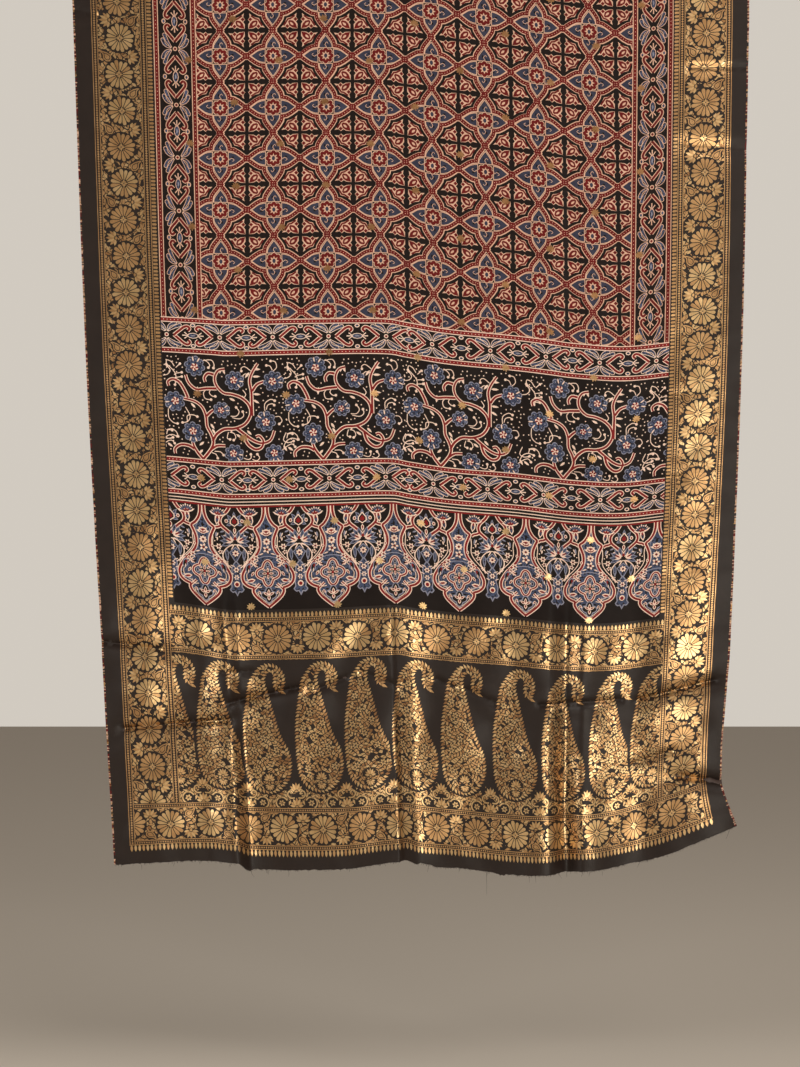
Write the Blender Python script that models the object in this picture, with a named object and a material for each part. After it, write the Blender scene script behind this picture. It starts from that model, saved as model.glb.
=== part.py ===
# Ajrakh cloth: the hanging end of a block-printed silk stole with woven gold borders.
# One sheet, one closed solid, in metres, +Z up. The origin is the middle of the top edge.
# The face looks along -Y. The cloth hangs down -Z, leans, narrows and folds as a real one does.

from collections import namedtuple

import bmesh
import bpy
from mathutils import Vector

MM = 0.001

# Driving dimensions, in millimetres.
SHEET_THICKNESS = 1.5
TOP_HEM_THICKNESS = 2.6
TOP_HEM_HEIGHT = 18.0
TOP_HEM_STEP = 2.0
LEVEL_TOP_REACH = 100.0
COLUMN_PITCH = 30.0
ROW_PITCH = 36.0
LOWER_ROW_PITCH = 27.0
LOWER_ROWS_START = 860.0
CLOTH_LENGTH = 1247.0

# How far down the flat cloth each column of the tables below is measured.
LEVELS_DOWN = (40.0, 516.0, 936.0, 1167.0, CLOTH_LENGTH)

# The woven lines that run down the cloth: where each lies on the flat cloth (flat, across from
# the middle), and how far across it hangs at the five levels.
WovenLine = namedtuple("WovenLine", "name flat top middle low guard hem")
WOVEN_LINES = (
    WovenLine("left selvedge", -473, -473, -455, -433, -419, -414),
    WovenLine("left gold edge", -448, -448, -431, -407, -395, -391),
    WovenLine("left field edge", -370, -370, -356, -335, -321, -316),
    WovenLine("middle crease", -35, -35, -29, -18, -10, -7),
    WovenLine("right field edge", 377, 377, 370, 354, 346, 350),
    WovenLine("right gold edge", 452, 452, 444, 424, 415, 428),
    WovenLine("right selvedge", 475, 475, 465, 448, 436, 456),
)

# How far each place across the cloth sags below the left field edge, at the five levels.
Sag = namedtuple("Sag", "name flat top middle low guard hem")
SAGS = (
    Sag("left selvedge", -473, -3, -3, 0, 4, 4),
    Sag("left field edge", -370, 0, 0, 0, 0, -2),
    Sag("left ridge", -288, 3, 5, 10, 1, 0),
    Sag("left valley", -271, 3, 6, 12, 7, 10),
    Sag("left middle", -137, 2, 4, 9, 7, 9),
    Sag("middle crease", -35, 4, 4, 4, 0, -3),
    Sag("middle valley", -11, 7, 8, 8, 5, 6),
    Sag("right of middle", 50, 14, 18, 14, 11, 9),
    Sag("right centre", 145, 26, 27, 20, 17, 17),
    Sag("right valley", 228, 38, 37, 27, 17, 14),
    Sag("right low", 302, 43, 42, 27, 13, 8),
    Sag("right field edge", 377, 37, 35, 18, -5, -7),
    Sag("right gold edge", 452, 31, 28, 10, -29, -40),
    Sag("right selvedge", 475, 28, 22, 7, -38, -52),
)

# The long folds down the cloth: how far each ridge (+) or valley (-) stands forward of the
# hanging plane, at the five levels.
Fold = namedtuple("Fold", "name flat top middle low guard hem")
FOLDS = (
    Fold("left selvedge", -473, 0, 2, -3, 0, 2),
    Fold("left border", -410, 0, -1, 3, 4, 4),
    Fold("left slope", -330, 0, 1, -2, 4, 6),
    Fold("left ridge", -288, 0, 2, 7, 14, 17),
    Fold("left valley", -268, 0, -2, -4, -5, -6),
    Fold("left flat", -200, 0, 0, -1, 0, 1),
    Fold("left middle", -137, 0, 2, 4, 6, 7),
    Fold("middle ridge", -45, 0, 3, 8, 14, 17),
    Fold("middle crease", -35, 0, -1, 1, 5, 6),
    Fold("middle valley", -9, 0, -3, -6, -8, -9),
    Fold("right of middle", 50, 0, -2, -4, -5, -5),
    Fold("right centre", 137, 0, 0, 2, 4, 5),
    Fold("right ridge", 198, 0, 4, 10, 17, 19),
    Fold("right valley", 227, 0, -3, -5, -5, -6),
    Fold("right small ridge", 254, 0, 2, 5, 8, 8),
    Fold("right low", 302, 0, 0, -1, -2, -3),
    Fold("right hollow", 340, 0, -1, -3, -6, -7),
    Fold("right field edge", 377, 0, 1, 1, -2, -2),
    Fold("right border", 430, 0, 1, 4, 3, 7),
    Fold("right selvedge", 475, 0, 0, 3, 6, 14),
)

# The larger creases across it, from one end to the other, as they hang: across and down.
Crease = namedtuple("Crease", "name across_1 down_1 across_2 down_2 width depth")
CREASES = (
    Crease("left valley crease", -400, 1060, -252, 1047, 15, 5),
    Crease("left rising crease", -255, 1024, -153, 1002, 13, 4),
    Crease("left border crease", -434, 938, -343, 950, 13, 4),
    Crease("right rising crease", 322, 1020, 427, 992, 15, 5),
    Crease("right band crease", 190, 697, 295, 709, 14, 4),
    Crease("pinch at the right edge", 372, 1126, 437, 1135, 14, 7),
    Crease("right border crease", 381, 243, 473, 250, 15, 4),
)

CLOTH_COLOUR = (0.045, 0.024, 0.020, 1.0)
CLOTH_ROUGHNESS = 0.55


def smooth_between(places, values, place):
    """Read a smooth curve through (places, values), held level past its ends."""
    if place <= places[0]:
        return values[0]
    if place >= places[-1]:
        return values[-1]
    last = len(places) - 1
    span = next(i for i in range(last) if places[i + 1] >= place)
    gap = places[span + 1] - places[span]
    slopes = []
    for i in (span, span + 1):
        before = max(i - 1, 0)
        after = min(i + 1, last)
        slopes.append((values[after] - values[before]) / (places[after] - places[before]) * gap)
    t = (place - places[span]) / gap
    rise = values[span + 1] - values[span]
    straight = values[span] + rise * t
    bend_start = slopes[0] - rise
    bend_end = slopes[1] - rise
    return straight + t * (1 - t) * ((1 - t) * bend_start - t * bend_end)


def read_table(table, flat_across, flat_down):
    """Read one of the tables of woven lines, sags or folds at a place on the flat cloth."""
    at_level = [smooth_between(LEVELS_DOWN, row[2:], flat_down) for row in table]
    return smooth_between([row.flat for row in table], at_level, flat_across)


def crease_depth(across, down):
    """Depth of the creases at a place on the hanging cloth, fading at their ends and sides."""
    place = Vector((across, down))
    total = 0.0
    for crease in CREASES:
        start = Vector((crease.across_1, crease.down_1))
        end = Vector((crease.across_2, crease.down_2))
        run = end - start
        share = min(max((place - start).dot(run) / run.length_squared, 0.0), 1.0)
        away = (place - (start + run * share)).length / crease.width
        total += crease.depth / (1.0 + away * away) ** 2
    return total


def hang(flat_across, flat_down):
    """Where a point of the flat cloth hangs, in metres."""
    across = read_table(WOVEN_LINES, flat_across, flat_down)
    down = flat_down + read_table(SAGS, flat_across, flat_down)
    forward = read_table(FOLDS, flat_across, flat_down) - crease_depth(across, down)
    near_top = min(max(down / LEVEL_TOP_REACH, 0.0), 1.0)
    return Vector((across * MM, -forward * near_top * MM, -down * MM))


def column_places():
    """Places of the grid's columns: every woven line and fold, and steps between them."""
    marks = sorted({row.flat for row in WOVEN_LINES + FOLDS})
    places = [marks[0]]
    for mark in marks[1:]:
        gap = mark - places[-1]
        steps = max(round(gap / COLUMN_PITCH), 1)
        start = places[-1]
        places += [start + gap * (i + 1) / steps for i in range(steps)]
    return places


def row_places():
    """Places of the grid's rows: the turned top hem, then even steps, closer below."""
    places = [0.0, TOP_HEM_HEIGHT, TOP_HEM_HEIGHT + TOP_HEM_STEP]
    while places[-1] < CLOTH_LENGTH:
        pitch = ROW_PITCH if places[-1] < LOWER_ROWS_START else LOWER_ROW_PITCH
        places.append(places[-1] + pitch)
    if CLOTH_LENGTH - places[-2] < LOWER_ROW_PITCH / 2:
        places.pop()
    places[-1] = CLOTH_LENGTH
    return places


def flat_place_down(flat_across, row_place):
    """Start the rows level along the top edge, and let them follow the weave further down."""
    if row_place >= LEVEL_TOP_REACH:
        return row_place
    start = -SAGS_AT_TOP[flat_across]
    return start + (LEVEL_TOP_REACH - start) * row_place / LEVEL_TOP_REACH


COLUMNS = column_places()
ROWS = row_places()
SAGS_AT_TOP = {place: read_table(SAGS, place, 0.0) for place in COLUMNS}


def hanging_sheet():
    """The middle surface of the hanging cloth, as triangles that face -Y."""
    mesh = bpy.data.meshes.new("cloth")
    sheet = bmesh.new()
    grid = []
    for row_place in ROWS:
        row = []
        for place in COLUMNS:
            row.append(sheet.verts.new(hang(place, flat_place_down(place, row_place))))
        grid.append(row)
    for upper, lower in zip(grid, grid[1:]):
        for i in range(len(COLUMNS) - 1):
            sheet.faces.new((upper[i], lower[i], lower[i + 1], upper[i + 1]))
    bmesh.ops.triangulate(sheet, faces=sheet.faces)
    sheet.to_mesh(mesh)
    sheet.free()
    mesh.shade_smooth()
    return mesh


def add_thickness(cloth):
    """Give the sheet its thickness, with the top hem turned over twice."""
    hem = cloth.vertex_groups.new(name="thick")
    plain_share = SHEET_THICKNESS / TOP_HEM_THICKNESS
    for vertex in cloth.data.vertices:
        in_hem = vertex.co.z > -(TOP_HEM_HEIGHT + TOP_HEM_STEP / 2) * MM
        hem.add([vertex.index], 1.0 if in_hem else plain_share, "REPLACE")
    solid = cloth.modifiers.new("Thickness", "SOLIDIFY")
    solid.thickness = TOP_HEM_THICKNESS * MM
    solid.offset = 0.0
    solid.vertex_group = hem.name


def cloth_material():
    material = bpy.data.materials.new("printed silk")
    material.use_nodes = True
    shader = material.node_tree.nodes["Principled BSDF"]
    shader.inputs["Base Color"].default_value = CLOTH_COLOUR
    shader.inputs["Roughness"].default_value = CLOTH_ROUGHNESS
    shader.inputs["Metallic"].default_value = 0.0
    return material


def main():
    for leftover in list(bpy.data.objects):
        bpy.data.objects.remove(leftover, do_unlink=True)
    cloth = bpy.data.objects.new("cloth", hanging_sheet())
    bpy.context.scene.collection.objects.link(cloth)
    cloth.data.materials.append(cloth_material())
    add_thickness(cloth)


main()
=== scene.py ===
import math
import random

import bpy
import numpy as np
from mathutils.geometry import delaunay_2d_cdt
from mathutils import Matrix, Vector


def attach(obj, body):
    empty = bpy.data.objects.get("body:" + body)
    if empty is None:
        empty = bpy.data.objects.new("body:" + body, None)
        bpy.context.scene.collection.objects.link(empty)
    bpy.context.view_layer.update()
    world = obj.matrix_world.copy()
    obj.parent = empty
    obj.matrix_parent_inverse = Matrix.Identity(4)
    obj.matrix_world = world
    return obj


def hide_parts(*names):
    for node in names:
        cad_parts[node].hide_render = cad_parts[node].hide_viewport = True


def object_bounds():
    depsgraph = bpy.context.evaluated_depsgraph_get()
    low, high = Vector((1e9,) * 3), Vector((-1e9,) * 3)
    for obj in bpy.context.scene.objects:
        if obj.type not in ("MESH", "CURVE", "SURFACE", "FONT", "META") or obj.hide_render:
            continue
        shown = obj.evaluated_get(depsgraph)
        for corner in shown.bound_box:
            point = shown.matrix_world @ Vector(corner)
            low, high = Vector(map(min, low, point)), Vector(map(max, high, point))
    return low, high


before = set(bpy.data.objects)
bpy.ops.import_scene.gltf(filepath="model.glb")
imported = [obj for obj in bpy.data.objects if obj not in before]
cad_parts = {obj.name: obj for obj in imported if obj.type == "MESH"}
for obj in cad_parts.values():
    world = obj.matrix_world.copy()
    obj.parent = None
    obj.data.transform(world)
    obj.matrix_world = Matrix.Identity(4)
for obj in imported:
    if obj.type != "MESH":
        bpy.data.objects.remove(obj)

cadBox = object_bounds()
mm = 0.001

# Printed and woven ajrakh cloth. Patterns are drawn flat, in millimetres, with x across and y down.
# Each drawing is cut into coloured faces and then hung on the same folds as the cloth's solid.


# How the cloth hangs. Each row: place on the flat cloth, then its value at the five levels down.
hanging = {
    "levelsDown": (40, 516, 936, 1167, 1247),
    "levelTopReach": 100,
    "thickness": 1.0,
    "backSetOff": 1.4,
    "wovenLines": {
        "left selvedge": (-473, -473, -455, -433, -419, -414),
        "left gold edge": (-448, -448, -431, -407, -395, -391),
        "left field edge": (-370, -370, -356, -335, -321, -316),
        "middle crease": (-35, -35, -29, -18, -10, -7),
        "right field edge": (377, 377, 370, 354, 346, 350),
        "right gold edge": (452, 452, 444, 424, 415, 428),
        "right selvedge": (475, 475, 465, 448, 436, 456),
    },
    "sags": {
        "left selvedge": (-473, -3, -3, 0, 4, 4),
        "left field edge": (-370, 0, 0, 0, 0, -2),
        "left ridge": (-288, 3, 5, 10, 1, 0),
        "left valley": (-271, 3, 6, 12, 7, 10),
        "left middle": (-137, 2, 4, 9, 7, 9),
        "middle crease": (-35, 4, 4, 4, 0, -3),
        "middle valley": (-11, 7, 8, 8, 5, 6),
        "right of middle": (50, 14, 18, 14, 11, 9),
        "right centre": (145, 26, 27, 20, 17, 17),
        "right valley": (228, 38, 37, 27, 17, 14),
        "right low": (302, 43, 42, 27, 13, 8),
        "right field edge": (377, 37, 35, 18, -5, -7),
        "right gold edge": (452, 31, 28, 10, -29, -40),
        "right selvedge": (475, 28, 22, 7, -38, -52),
    },
    "folds": {
        "left selvedge": (-473, 0, 2, -3, 0, 2),
        "left border": (-410, 0, -1, 3, 4, 4),
        "left slope": (-330, 0, 1, -2, 4, 6),
        "left ridge": (-288, 0, 2, 7, 14, 17),
        "left valley": (-268, 0, -2, -4, -5, -6),
        "left flat": (-200, 0, 0, -1, 0, 1),
        "left middle": (-137, 0, 2, 4, 6, 7),
        "middle ridge": (-45, 0, 3, 8, 14, 17),
        "middle crease": (-35, 0, -1, 1, 5, 6),
        "middle valley": (-9, 0, -3, -6, -8, -9),
        "right of middle": (50, 0, -2, -4, -5, -5),
        "right centre": (137, 0, 0, 2, 4, 5),
        "right ridge": (198, 0, 4, 10, 17, 19),
        "right valley": (227, 0, -3, -5, -5, -6),
        "right small ridge": (254, 0, 2, 5, 8, 8),
        "right low": (302, 0, 0, -1, -2, -3),
        "right hollow": (340, 0, -1, -3, -6, -7),
        "right field edge": (377, 0, 1, 1, -2, -2),
        "right border": (430, 0, 1, 4, 3, 7),
        "right selvedge": (475, 0, 0, 3, 6, 14),
    },
    # Creases as they hang: across and down of one end, then of the other, width and depth.
    "creases": {
        "left valley": (-400, 1060, -252, 1047, 15, 5),
        "left rising": (-255, 1024, -153, 1002, 13, 4),
        "left border": (-434, 938, -343, 950, 13, 4),
        "right rising": (322, 1020, 427, 992, 15, 5),
        "right band": (190, 697, 295, 709, 14, 4),
        "pinch at the right edge": (372, 1126, 437, 1135, 14, 7),
        "right border": (381, 243, 473, 250, 15, 4),
    },
    "fineCreases": {
        "left valley line": (-398, 1060, -254, 1048, 5, 2.6),
        "left rising line": (-252, 1024, -155, 1003, 5, 2.2),
        "left border line": (-430, 939, -350, 949, 5, 1.8),
        "right rising line": (322, 1020, 425, 993, 5, 2.4),
        "pinch line": (375, 1127, 437, 1135, 5, 2.6),
        "band line": (196, 698, 290, 708, 5, 1.6),
        "first hook": (-259, 982, -224, 981, 6, 1.4),
        "second hook": (-129, 1005, -90, 989, 6, 2.4),
        "third hook": (-66, 981, -20, 999, 6, 2.4),
        "fourth hook": (38, 992, 63, 1003, 6, 2.2),
        "fifth hook": (80, 1006, 119, 1024, 6, 2.4),
        "long right": (182, 1027, 294, 1020, 6, 2.6),
        "low right": (316, 1110, 367, 1091, 6, 2.0),
        "border upper": (392, 134, 473, 134, 7, 1.6),
        "border middle": (332, 596, 378, 596, 6, 1.6),
        "border lower": (332, 709, 378, 709, 6, 1.6),
        "top corner": (-469, 53, -440, 60, 6, 1.8),
    },
    # Slow waves in the silk: wavelength across, wavelength down, shift, height.
    "waves": ((95, 310, 0.4, 0.5), (61, 190, 2.1, 0.35), (142, 84, 4.0, 0.3), (47, 133, 1.3, 0.22),
              (121, 540, 1.7, 1.3)),
}


def smoothRead(places, values, at):
    places = np.asarray(places, dtype=float)
    at = np.clip(at, places[0], places[-1])
    last = len(places) - 1
    span = np.clip(np.searchsorted(places, at, side="right") - 1, 0, last - 1)
    pick = (lambda i: values[i]) if values.ndim == 1 else (lambda i: values[i, np.arange(len(at))])
    before, after, past = np.maximum(span - 1, 0), span + 1, np.minimum(span + 2, last)
    gap = places[after] - places[span]
    rise = pick(after) - pick(span)
    slopeStart = (pick(after) - pick(before)) / (places[after] - places[before]) * gap
    slopeEnd = (pick(past) - pick(span)) / (places[past] - places[span]) * gap
    t = (at - places[span]) / gap
    return pick(span) + rise * t + t * (1 - t) * ((1 - t) * (slopeStart - rise) - t * (slopeEnd - rise))


def readTable(rows, across, down):
    rows = np.array(list(rows.values()), dtype=float)
    atLevel = np.array([smoothRead(hanging["levelsDown"], row[1:], down) for row in rows])
    return smoothRead(rows[:, 0], atLevel, across)


def creaseDepth(creases, x, y):
    total = np.zeros(len(x))
    for x1, y1, x2, y2, width, depth in creases.values():
        runX, runY = x2 - x1, y2 - y1
        share = np.clip(((x - x1) * runX + (y - y1) * runY) / (runX * runX + runY * runY), 0, 1)
        away = np.hypot(x - x1 - runX * share, y - y1 - runY * share) / width
        total += depth / (1 + away * away) ** 2
    return total


def hang(across, down):
    # where points of the flat cloth hang, in metres
    x = readTable(hanging["wovenLines"], across, down)
    y = down + readTable(hanging["sags"], across, down)
    forward = readTable(hanging["folds"], across, down)
    forward = forward - creaseDepth(hanging["creases"], x, y) - 1.9 * creaseDepth(hanging["fineCreases"], x, y)
    for longAcross, longDown, shift, height in hanging["waves"]:
        wave = np.sin(2 * math.pi * (x / longAcross + shift) + 2.5 * np.sin(2 * math.pi * y / longDown))
        forward = forward + height * wave * np.clip(y / 900, 0.25, 1)
    nearTop = np.clip(y / hanging["levelTopReach"], 0, 1)
    return np.stack([x * mm, -forward * nearTop * mm, -y * mm], axis=1)


def hangNormals(across, down, step=0.7):
    alongX = hang(across + step, down) - hang(across - step, down)
    alongY = hang(across, down + step) - hang(across, down - step)
    normals = np.cross(alongX, -alongY)     # towards the viewer, at -Y
    normals *= np.sign(-normals[:, 1:2] + 1e-12)
    return normals / np.linalg.norm(normals, axis=1, keepdims=True)


def topOfWeave(across):
    # the top edge hangs level, so it cuts the sagging weave at a slant
    return -readTable(hanging["sags"], np.atleast_1d(np.asarray(across, dtype=float)), np.zeros(np.size(across)))


# Drawing kit: a drawing is a list of (dye, outline), painted in order, later over earlier.

def outlineArray(points):
    points = np.asarray(points, dtype=float).reshape(-1, 2)
    x, y = points[:, 0], points[:, 1]
    area = np.dot(x, np.roll(y, -1)) - np.dot(y, np.roll(x, -1))
    return points if area > 0 else points[::-1]


def place(drawing, x=0.0, y=0.0, turn=0.0, scale=1.0, mirror=False):
    # a drawing turned by degrees, scaled, mirrored left to right and moved
    c, s = math.cos(math.radians(turn)) * scale, math.sin(math.radians(turn)) * scale
    matrix = np.array([[c, s], [-s, c]])
    if mirror:
        matrix = np.array([[-1, 0], [0, 1]]) @ matrix
    return [(dye, outline @ matrix + (x, y)) for dye, outline in drawing]


def shape(dye, points):
    return [(dye, np.asarray(points, dtype=float).reshape(-1, 2))]


def oval(dye, x, y, rx, ry=None, sides=None, turn=0.0):
    ry = rx if ry is None else ry
    sides = sides or (5 if max(rx, ry) < 2.5 else 8)
    a = np.linspace(0, 2 * math.pi, sides, endpoint=False)
    points = np.stack([rx * np.cos(a), ry * np.sin(a)], axis=1)
    return place([(dye, points)], x, y, turn)


def lobed(dye, x, y, r, depth, lobes, turn=0.0, perLobe=4):
    a = np.linspace(0, 2 * math.pi, lobes * perLobe, endpoint=False)
    reach = r - depth + depth * np.abs(np.cos(lobes * a / 2)) ** 0.7
    points = np.stack([reach * np.cos(a + turn), reach * np.sin(a + turn)], axis=1) + (x, y)
    return [(dye, points)]


def starShape(dye, x, y, outer, inner, tips, turn=0.0):
    a = np.linspace(0, 2 * math.pi, tips * 2, endpoint=False) + turn
    reach = np.where(np.arange(tips * 2) % 2 == 0, outer, inner)
    return [(dye, np.stack([reach * np.cos(a), reach * np.sin(a)], axis=1) + (x, y))]


def leafShape(dye, x, y, length, width, turn=0.0):
    # a pointed leaf from (x, y) along +x turned by degrees
    w = width / 2
    points = [(0, 0), (length * 0.28, -w * 0.9), (length * 0.66, -w * 0.85), (length, 0),
              (length * 0.66, w * 0.85), (length * 0.28, w * 0.9)]
    return place(shape(dye, points), x, y, turn)


def curve(points, steps=4, closed=False):
    # a smooth line through given points
    p = np.asarray(points, dtype=float)
    n = len(p)
    spans = n if closed else n - 1
    out = []
    for i in range(spans):
        a, b, c, d = (p[j % n] if closed else p[min(max(j, 0), n - 1)] for j in (i - 1, i, i + 1, i + 2))
        for k in range(steps):
            t = k / steps
            out.append(0.5 * (2 * b + (c - a) * t + (2 * a - 5 * b + 4 * c - d) * t * t
                              + (3 * b - a - 3 * c + d) * t ** 3))
    if not closed:
        out.append(p[-1])
    return np.array(out)


def stroke(dye, line, width, endWidth=None, closed=False):
    # a line of given width, as one small face per step, so it may bend sharply or cross itself
    line = np.asarray(line, dtype=float)
    n = len(line)
    ahead = np.roll(line, -1, axis=0) - line
    behind = line - np.roll(line, 1, axis=0)
    if not closed:
        ahead[-1], behind[0] = behind[-1], ahead[0]
    ahead /= np.linalg.norm(ahead, axis=1, keepdims=True) + 1e-9
    behind /= np.linalg.norm(behind, axis=1, keepdims=True) + 1e-9
    along = ahead + behind
    along /= np.linalg.norm(along, axis=1, keepdims=True) + 1e-9
    side = np.stack([-along[:, 1], along[:, 0]], axis=1)
    widths = np.linspace(width, width if endWidth is None else endWidth, n)[:, None] / 2
    left, right = line + side * widths, line - side * widths
    steps = range(n if closed else n - 1)
    return [(dye, np.array([left[i], right[i], right[(i + 1) % n], left[(i + 1) % n]])) for i in steps]


def pipedStroke(line, outer, inner, edge, core, closed=False, endShare=1.0):
    # a coloured line with an undyed line on each side
    return (stroke(edge, line, outer, outer * endShare, closed)
            + stroke(core, line, inner, inner * endShare, closed))


def dotsAlong(dye, line, gap, radius, sides=4, start=0.5):
    line = np.asarray(line, dtype=float)
    steps = np.linalg.norm(np.diff(line, axis=0), axis=1)
    along = np.concatenate([[0], np.cumsum(steps)])
    count = max(int(along[-1] / gap), 1)
    at = (np.arange(count) + start) * along[-1] / count
    xs, ys = np.interp(at, along, line[:, 0]), np.interp(at, along, line[:, 1])
    return [item for x, y in zip(xs, ys) for item in oval(dye, x, y, radius, sides=sides)]


def grown(outline, by):
    # an outline moved outwards by a distance, or inwards if it is negative
    p = outlineArray(outline)
    ahead, behind = np.roll(p, -1, axis=0) - p, p - np.roll(p, 1, axis=0)
    ahead /= np.linalg.norm(ahead, axis=1, keepdims=True) + 1e-9
    behind /= np.linalg.norm(behind, axis=1, keepdims=True) + 1e-9
    out = np.stack([ahead[:, 1] + behind[:, 1], -ahead[:, 0] - behind[:, 0]], axis=1)
    length = np.linalg.norm(out, axis=1, keepdims=True) + 1e-9
    out = out / length * np.minimum(2 / length, 1.8)
    return p + out * by


def banded(outline, *layers):
    # one outline filled in nested layers, each (dye, how far inside the outline)
    drawn = []
    for dye, inside in layers:
        drawn += shape(dye, grown(outline, -inside))
    return drawn


def halves(drawing):
    return drawing + place(drawing, mirror=True)


def flipped(drawing):
    return [(dye, outline * (1, -1)) for dye, outline in drawing]


# Where each part of the pattern lies on the flat cloth.
layout = {
    "leftEdge": -473, "rightEdge": 475,
    "blackLeft": -448, "blackRight": 452,
    "outerGuardLeft": -438.8, "outerGuardRight": 442.4,
    "innerGuardLeft": -380, "innerGuardRight": 386,
    "ticksLeft": -370, "ticksRight": 377,
    "printLeft": -361.6, "printRight": 369,
    "scrollLeft": -330.7, "scrollRight": 341,
    "fieldLeft": -304.8, "fieldRight": 315.6,
    "top": -60, "tripleOne": 482.4, "tripleTwo": 528.6, "tripleThree": 681.2, "tripleFour": 726,
    "lampTop": 741, "goldBand": 882.8, "goldBandEnd": 952.8,
    "lowerBorder": 1162.5, "hem": 1247, "fieldHalf": 258,
}


triple = {"width": 7.4, "red": 4.9, "dotGap": 5.2, "dot": 0.75}


def tripleLine(line):
    # cream, red with cream dots, cream
    return (stroke("cream", line, triple["width"]) + stroke("madder", line, triple["red"])
            + dotsAlong("cream", line, triple["dotGap"], triple["dot"]))


def straight(x1, y1, x2, y2, step=12):
    count = max(int(math.hypot(x2 - x1, y2 - y1) / step), 1) + 1
    return np.stack([np.linspace(x1, x2, count), np.linspace(y1, y2, count)], axis=1)


# The field: flowers in dotted red bands, with crossed black medallions between them.
field = {"pitchAcross": 73.8, "pitchDown": 71.4, "firstColumn": -266, "firstRow": 44.2,
         "spread": 0.035, "spreadCentre": -14, "wander": 0.45,
         "band": ((36.9, 0), (31.2, 4.4), (25.0, 8.9), (19.0, 12.3), (14.8, 13.1), (12.2, 12.9),
                  (12.5, 15.6), (11.7, 19.4), (8.6, 24.5), (4.2, 30.2), (0, 35.7)),
         "bandWidth": 7.0, "redWidth": 4.9, "dotGap": 3.9, "dot": 0.68}


def fieldPetal(reach):
    outline = [(0, -reach), (3.2, 4.2 - reach), (6.4, 8.8 - reach), (8.3, -15.2), (8.7, -11.4)]
    outline += [(-x, y) for x, y in outline[:0:-1]]
    squiggle = curve([(1.4, -12.4), (-1.0, -15.6), (1.6, -19.2), (3.4, -16.8)], 2)
    return (banded(outline, ("cream", -1.0), ("indigo", 0.0))
            + oval("black", -2.2, -17.2, 1.3, 2.2, 5) + oval("black", 3.4, -13.2, 1.1, 1.4, 5)
            + stroke("cream", squiggle, 0.9, 0.6))


def fieldFlower():
    drawn = []
    for turn, reach in ((0, 27.6), (90, 30.0), (180, 27.6), (270, 30.0)):
        drawn += place(fieldPetal(reach), turn=turn)
    drawn += lobed("cream", 0, 0, 12.2, 2.2, 8) + lobed("madder", 0, 0, 11.1, 2.2, 8)
    return drawn + starShape("cream", 0, 0, 6.9, 3.7, 8) + oval("indigo", 0, 0, 2.4, 3.3)


def fieldBand():
    corner = 5
    quarter = np.array(field["band"], dtype=float)
    quarter = np.concatenate([curve(quarter[:corner + 1], 1)[:-1], curve(quarter[corner:], 1)])
    ring = []
    for signX, signY, backwards in ((1, 1, False), (-1, 1, True), (-1, -1, False), (1, -1, True)):
        part = quarter * (signX, signY)
        ring.append((part[::-1] if backwards else part)[:-1])
    ring = np.concatenate(ring)
    closedRing = np.concatenate([ring, ring[:1]])
    corners = oval("cream", 36.9, 0, 6.1, sides=6) + oval("cream", 0, 35.7, 6.1, sides=6)
    cores = oval("madder", 36.9, 0, 5.1, sides=6) + oval("madder", 0, 35.7, 5.1, sides=6)
    return (stroke("cream", ring, field["bandWidth"], closed=True) + corners,
            cores + stroke("madder", ring, field["redWidth"], closed=True)
            + dotsAlong("cream", closedRing, field["dotGap"], field["dot"]))


def diamond(dye, x, y, size):
    return shape(dye, [(x - size, y), (x, y - size), (x + size, y), (x, y + size)])


def medallionQuarter():
    fan = [(2.6, 1.9), (9.6, 2.4), (13.2, 4.4), (16.4, 1.7), (19.4, 4.4), (25.6, 3.5), (20.9, 8.6), (18.7, 14.0),
           (17.4, 16.9), (12.3, 17.9), (8.1, 20.1), (3.6, 23.8), (4.6, 18.3), (2.0, 14.8), (4.7, 11.6), (2.4, 8.4)]
    chevron = [(21.8, 6.0), (17.4, 12.9), (15.9, 15.2), (12.3, 16.0), (6.2, 20.2)]
    bud = [(2.8, 2.2), (9.4, 3.4), (14.2, 6.4), (15.6, 11.8), (13.9, 13.9), (8.6, 13.0), (4.8, 8.8)]
    return (shape("cream", fan) + stroke("madder", chevron, 2.3) + diamond("madder", 16.8, 5.4, 2.8)
            + diamond("madder", 5.4, 15.2, 2.8) + shape("madder", bud) + leafShape("cream", 8.2, 6.6, 6.8, 3.2, 42))


def fieldMedallion():
    quarter = halves(medallionQuarter())
    return quarter + flipped(quarter)


def drawField():
    halfX, halfY = field["pitchAcross"] / 2, field["pitchDown"] / 2
    flower, medallion = fieldFlower(), fieldMedallion()
    bandEdge, bandCore = fieldBand()
    layers = [[], [], []]
    rnd = random.Random(5)
    for row in range(-2, 8):
        for column in range(-1, 9):
            x = field["firstColumn"] + column * field["pitchAcross"]
            y = field["firstRow"] + row * field["pitchDown"]
            # each dye has its own block, stamped a little out of line with the others
            outX, outY = rnd.uniform(-1, 1) * field["wander"], rnd.uniform(-1, 1) * field["wander"]
            layers[0] += place(bandEdge, x, y)
            layers[1] += place(bandCore, x + outX - 0.3, y + outY - 0.2)
            layers[2] += place(flower, x + outX * 0.5, y) + place(medallion, x + halfX, y + halfY + outY * 0.5)
    # the blocks were stamped on the stretched cloth, so their columns spread a little lower down
    centre, spread = field["spreadCentre"], field["spread"]
    wide = layout["tripleOne"] - field["firstRow"]
    drawn = []
    for dye, outline in layers[0] + layers[1] + layers[2]:
        x, y = outline[:, 0], outline[:, 1]
        stretch = 1 + spread * (y - field["firstRow"]) / wide
        drawn.append((dye, np.stack([centre + (x - centre) * stretch, y], axis=1)))
    return drawn


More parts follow.
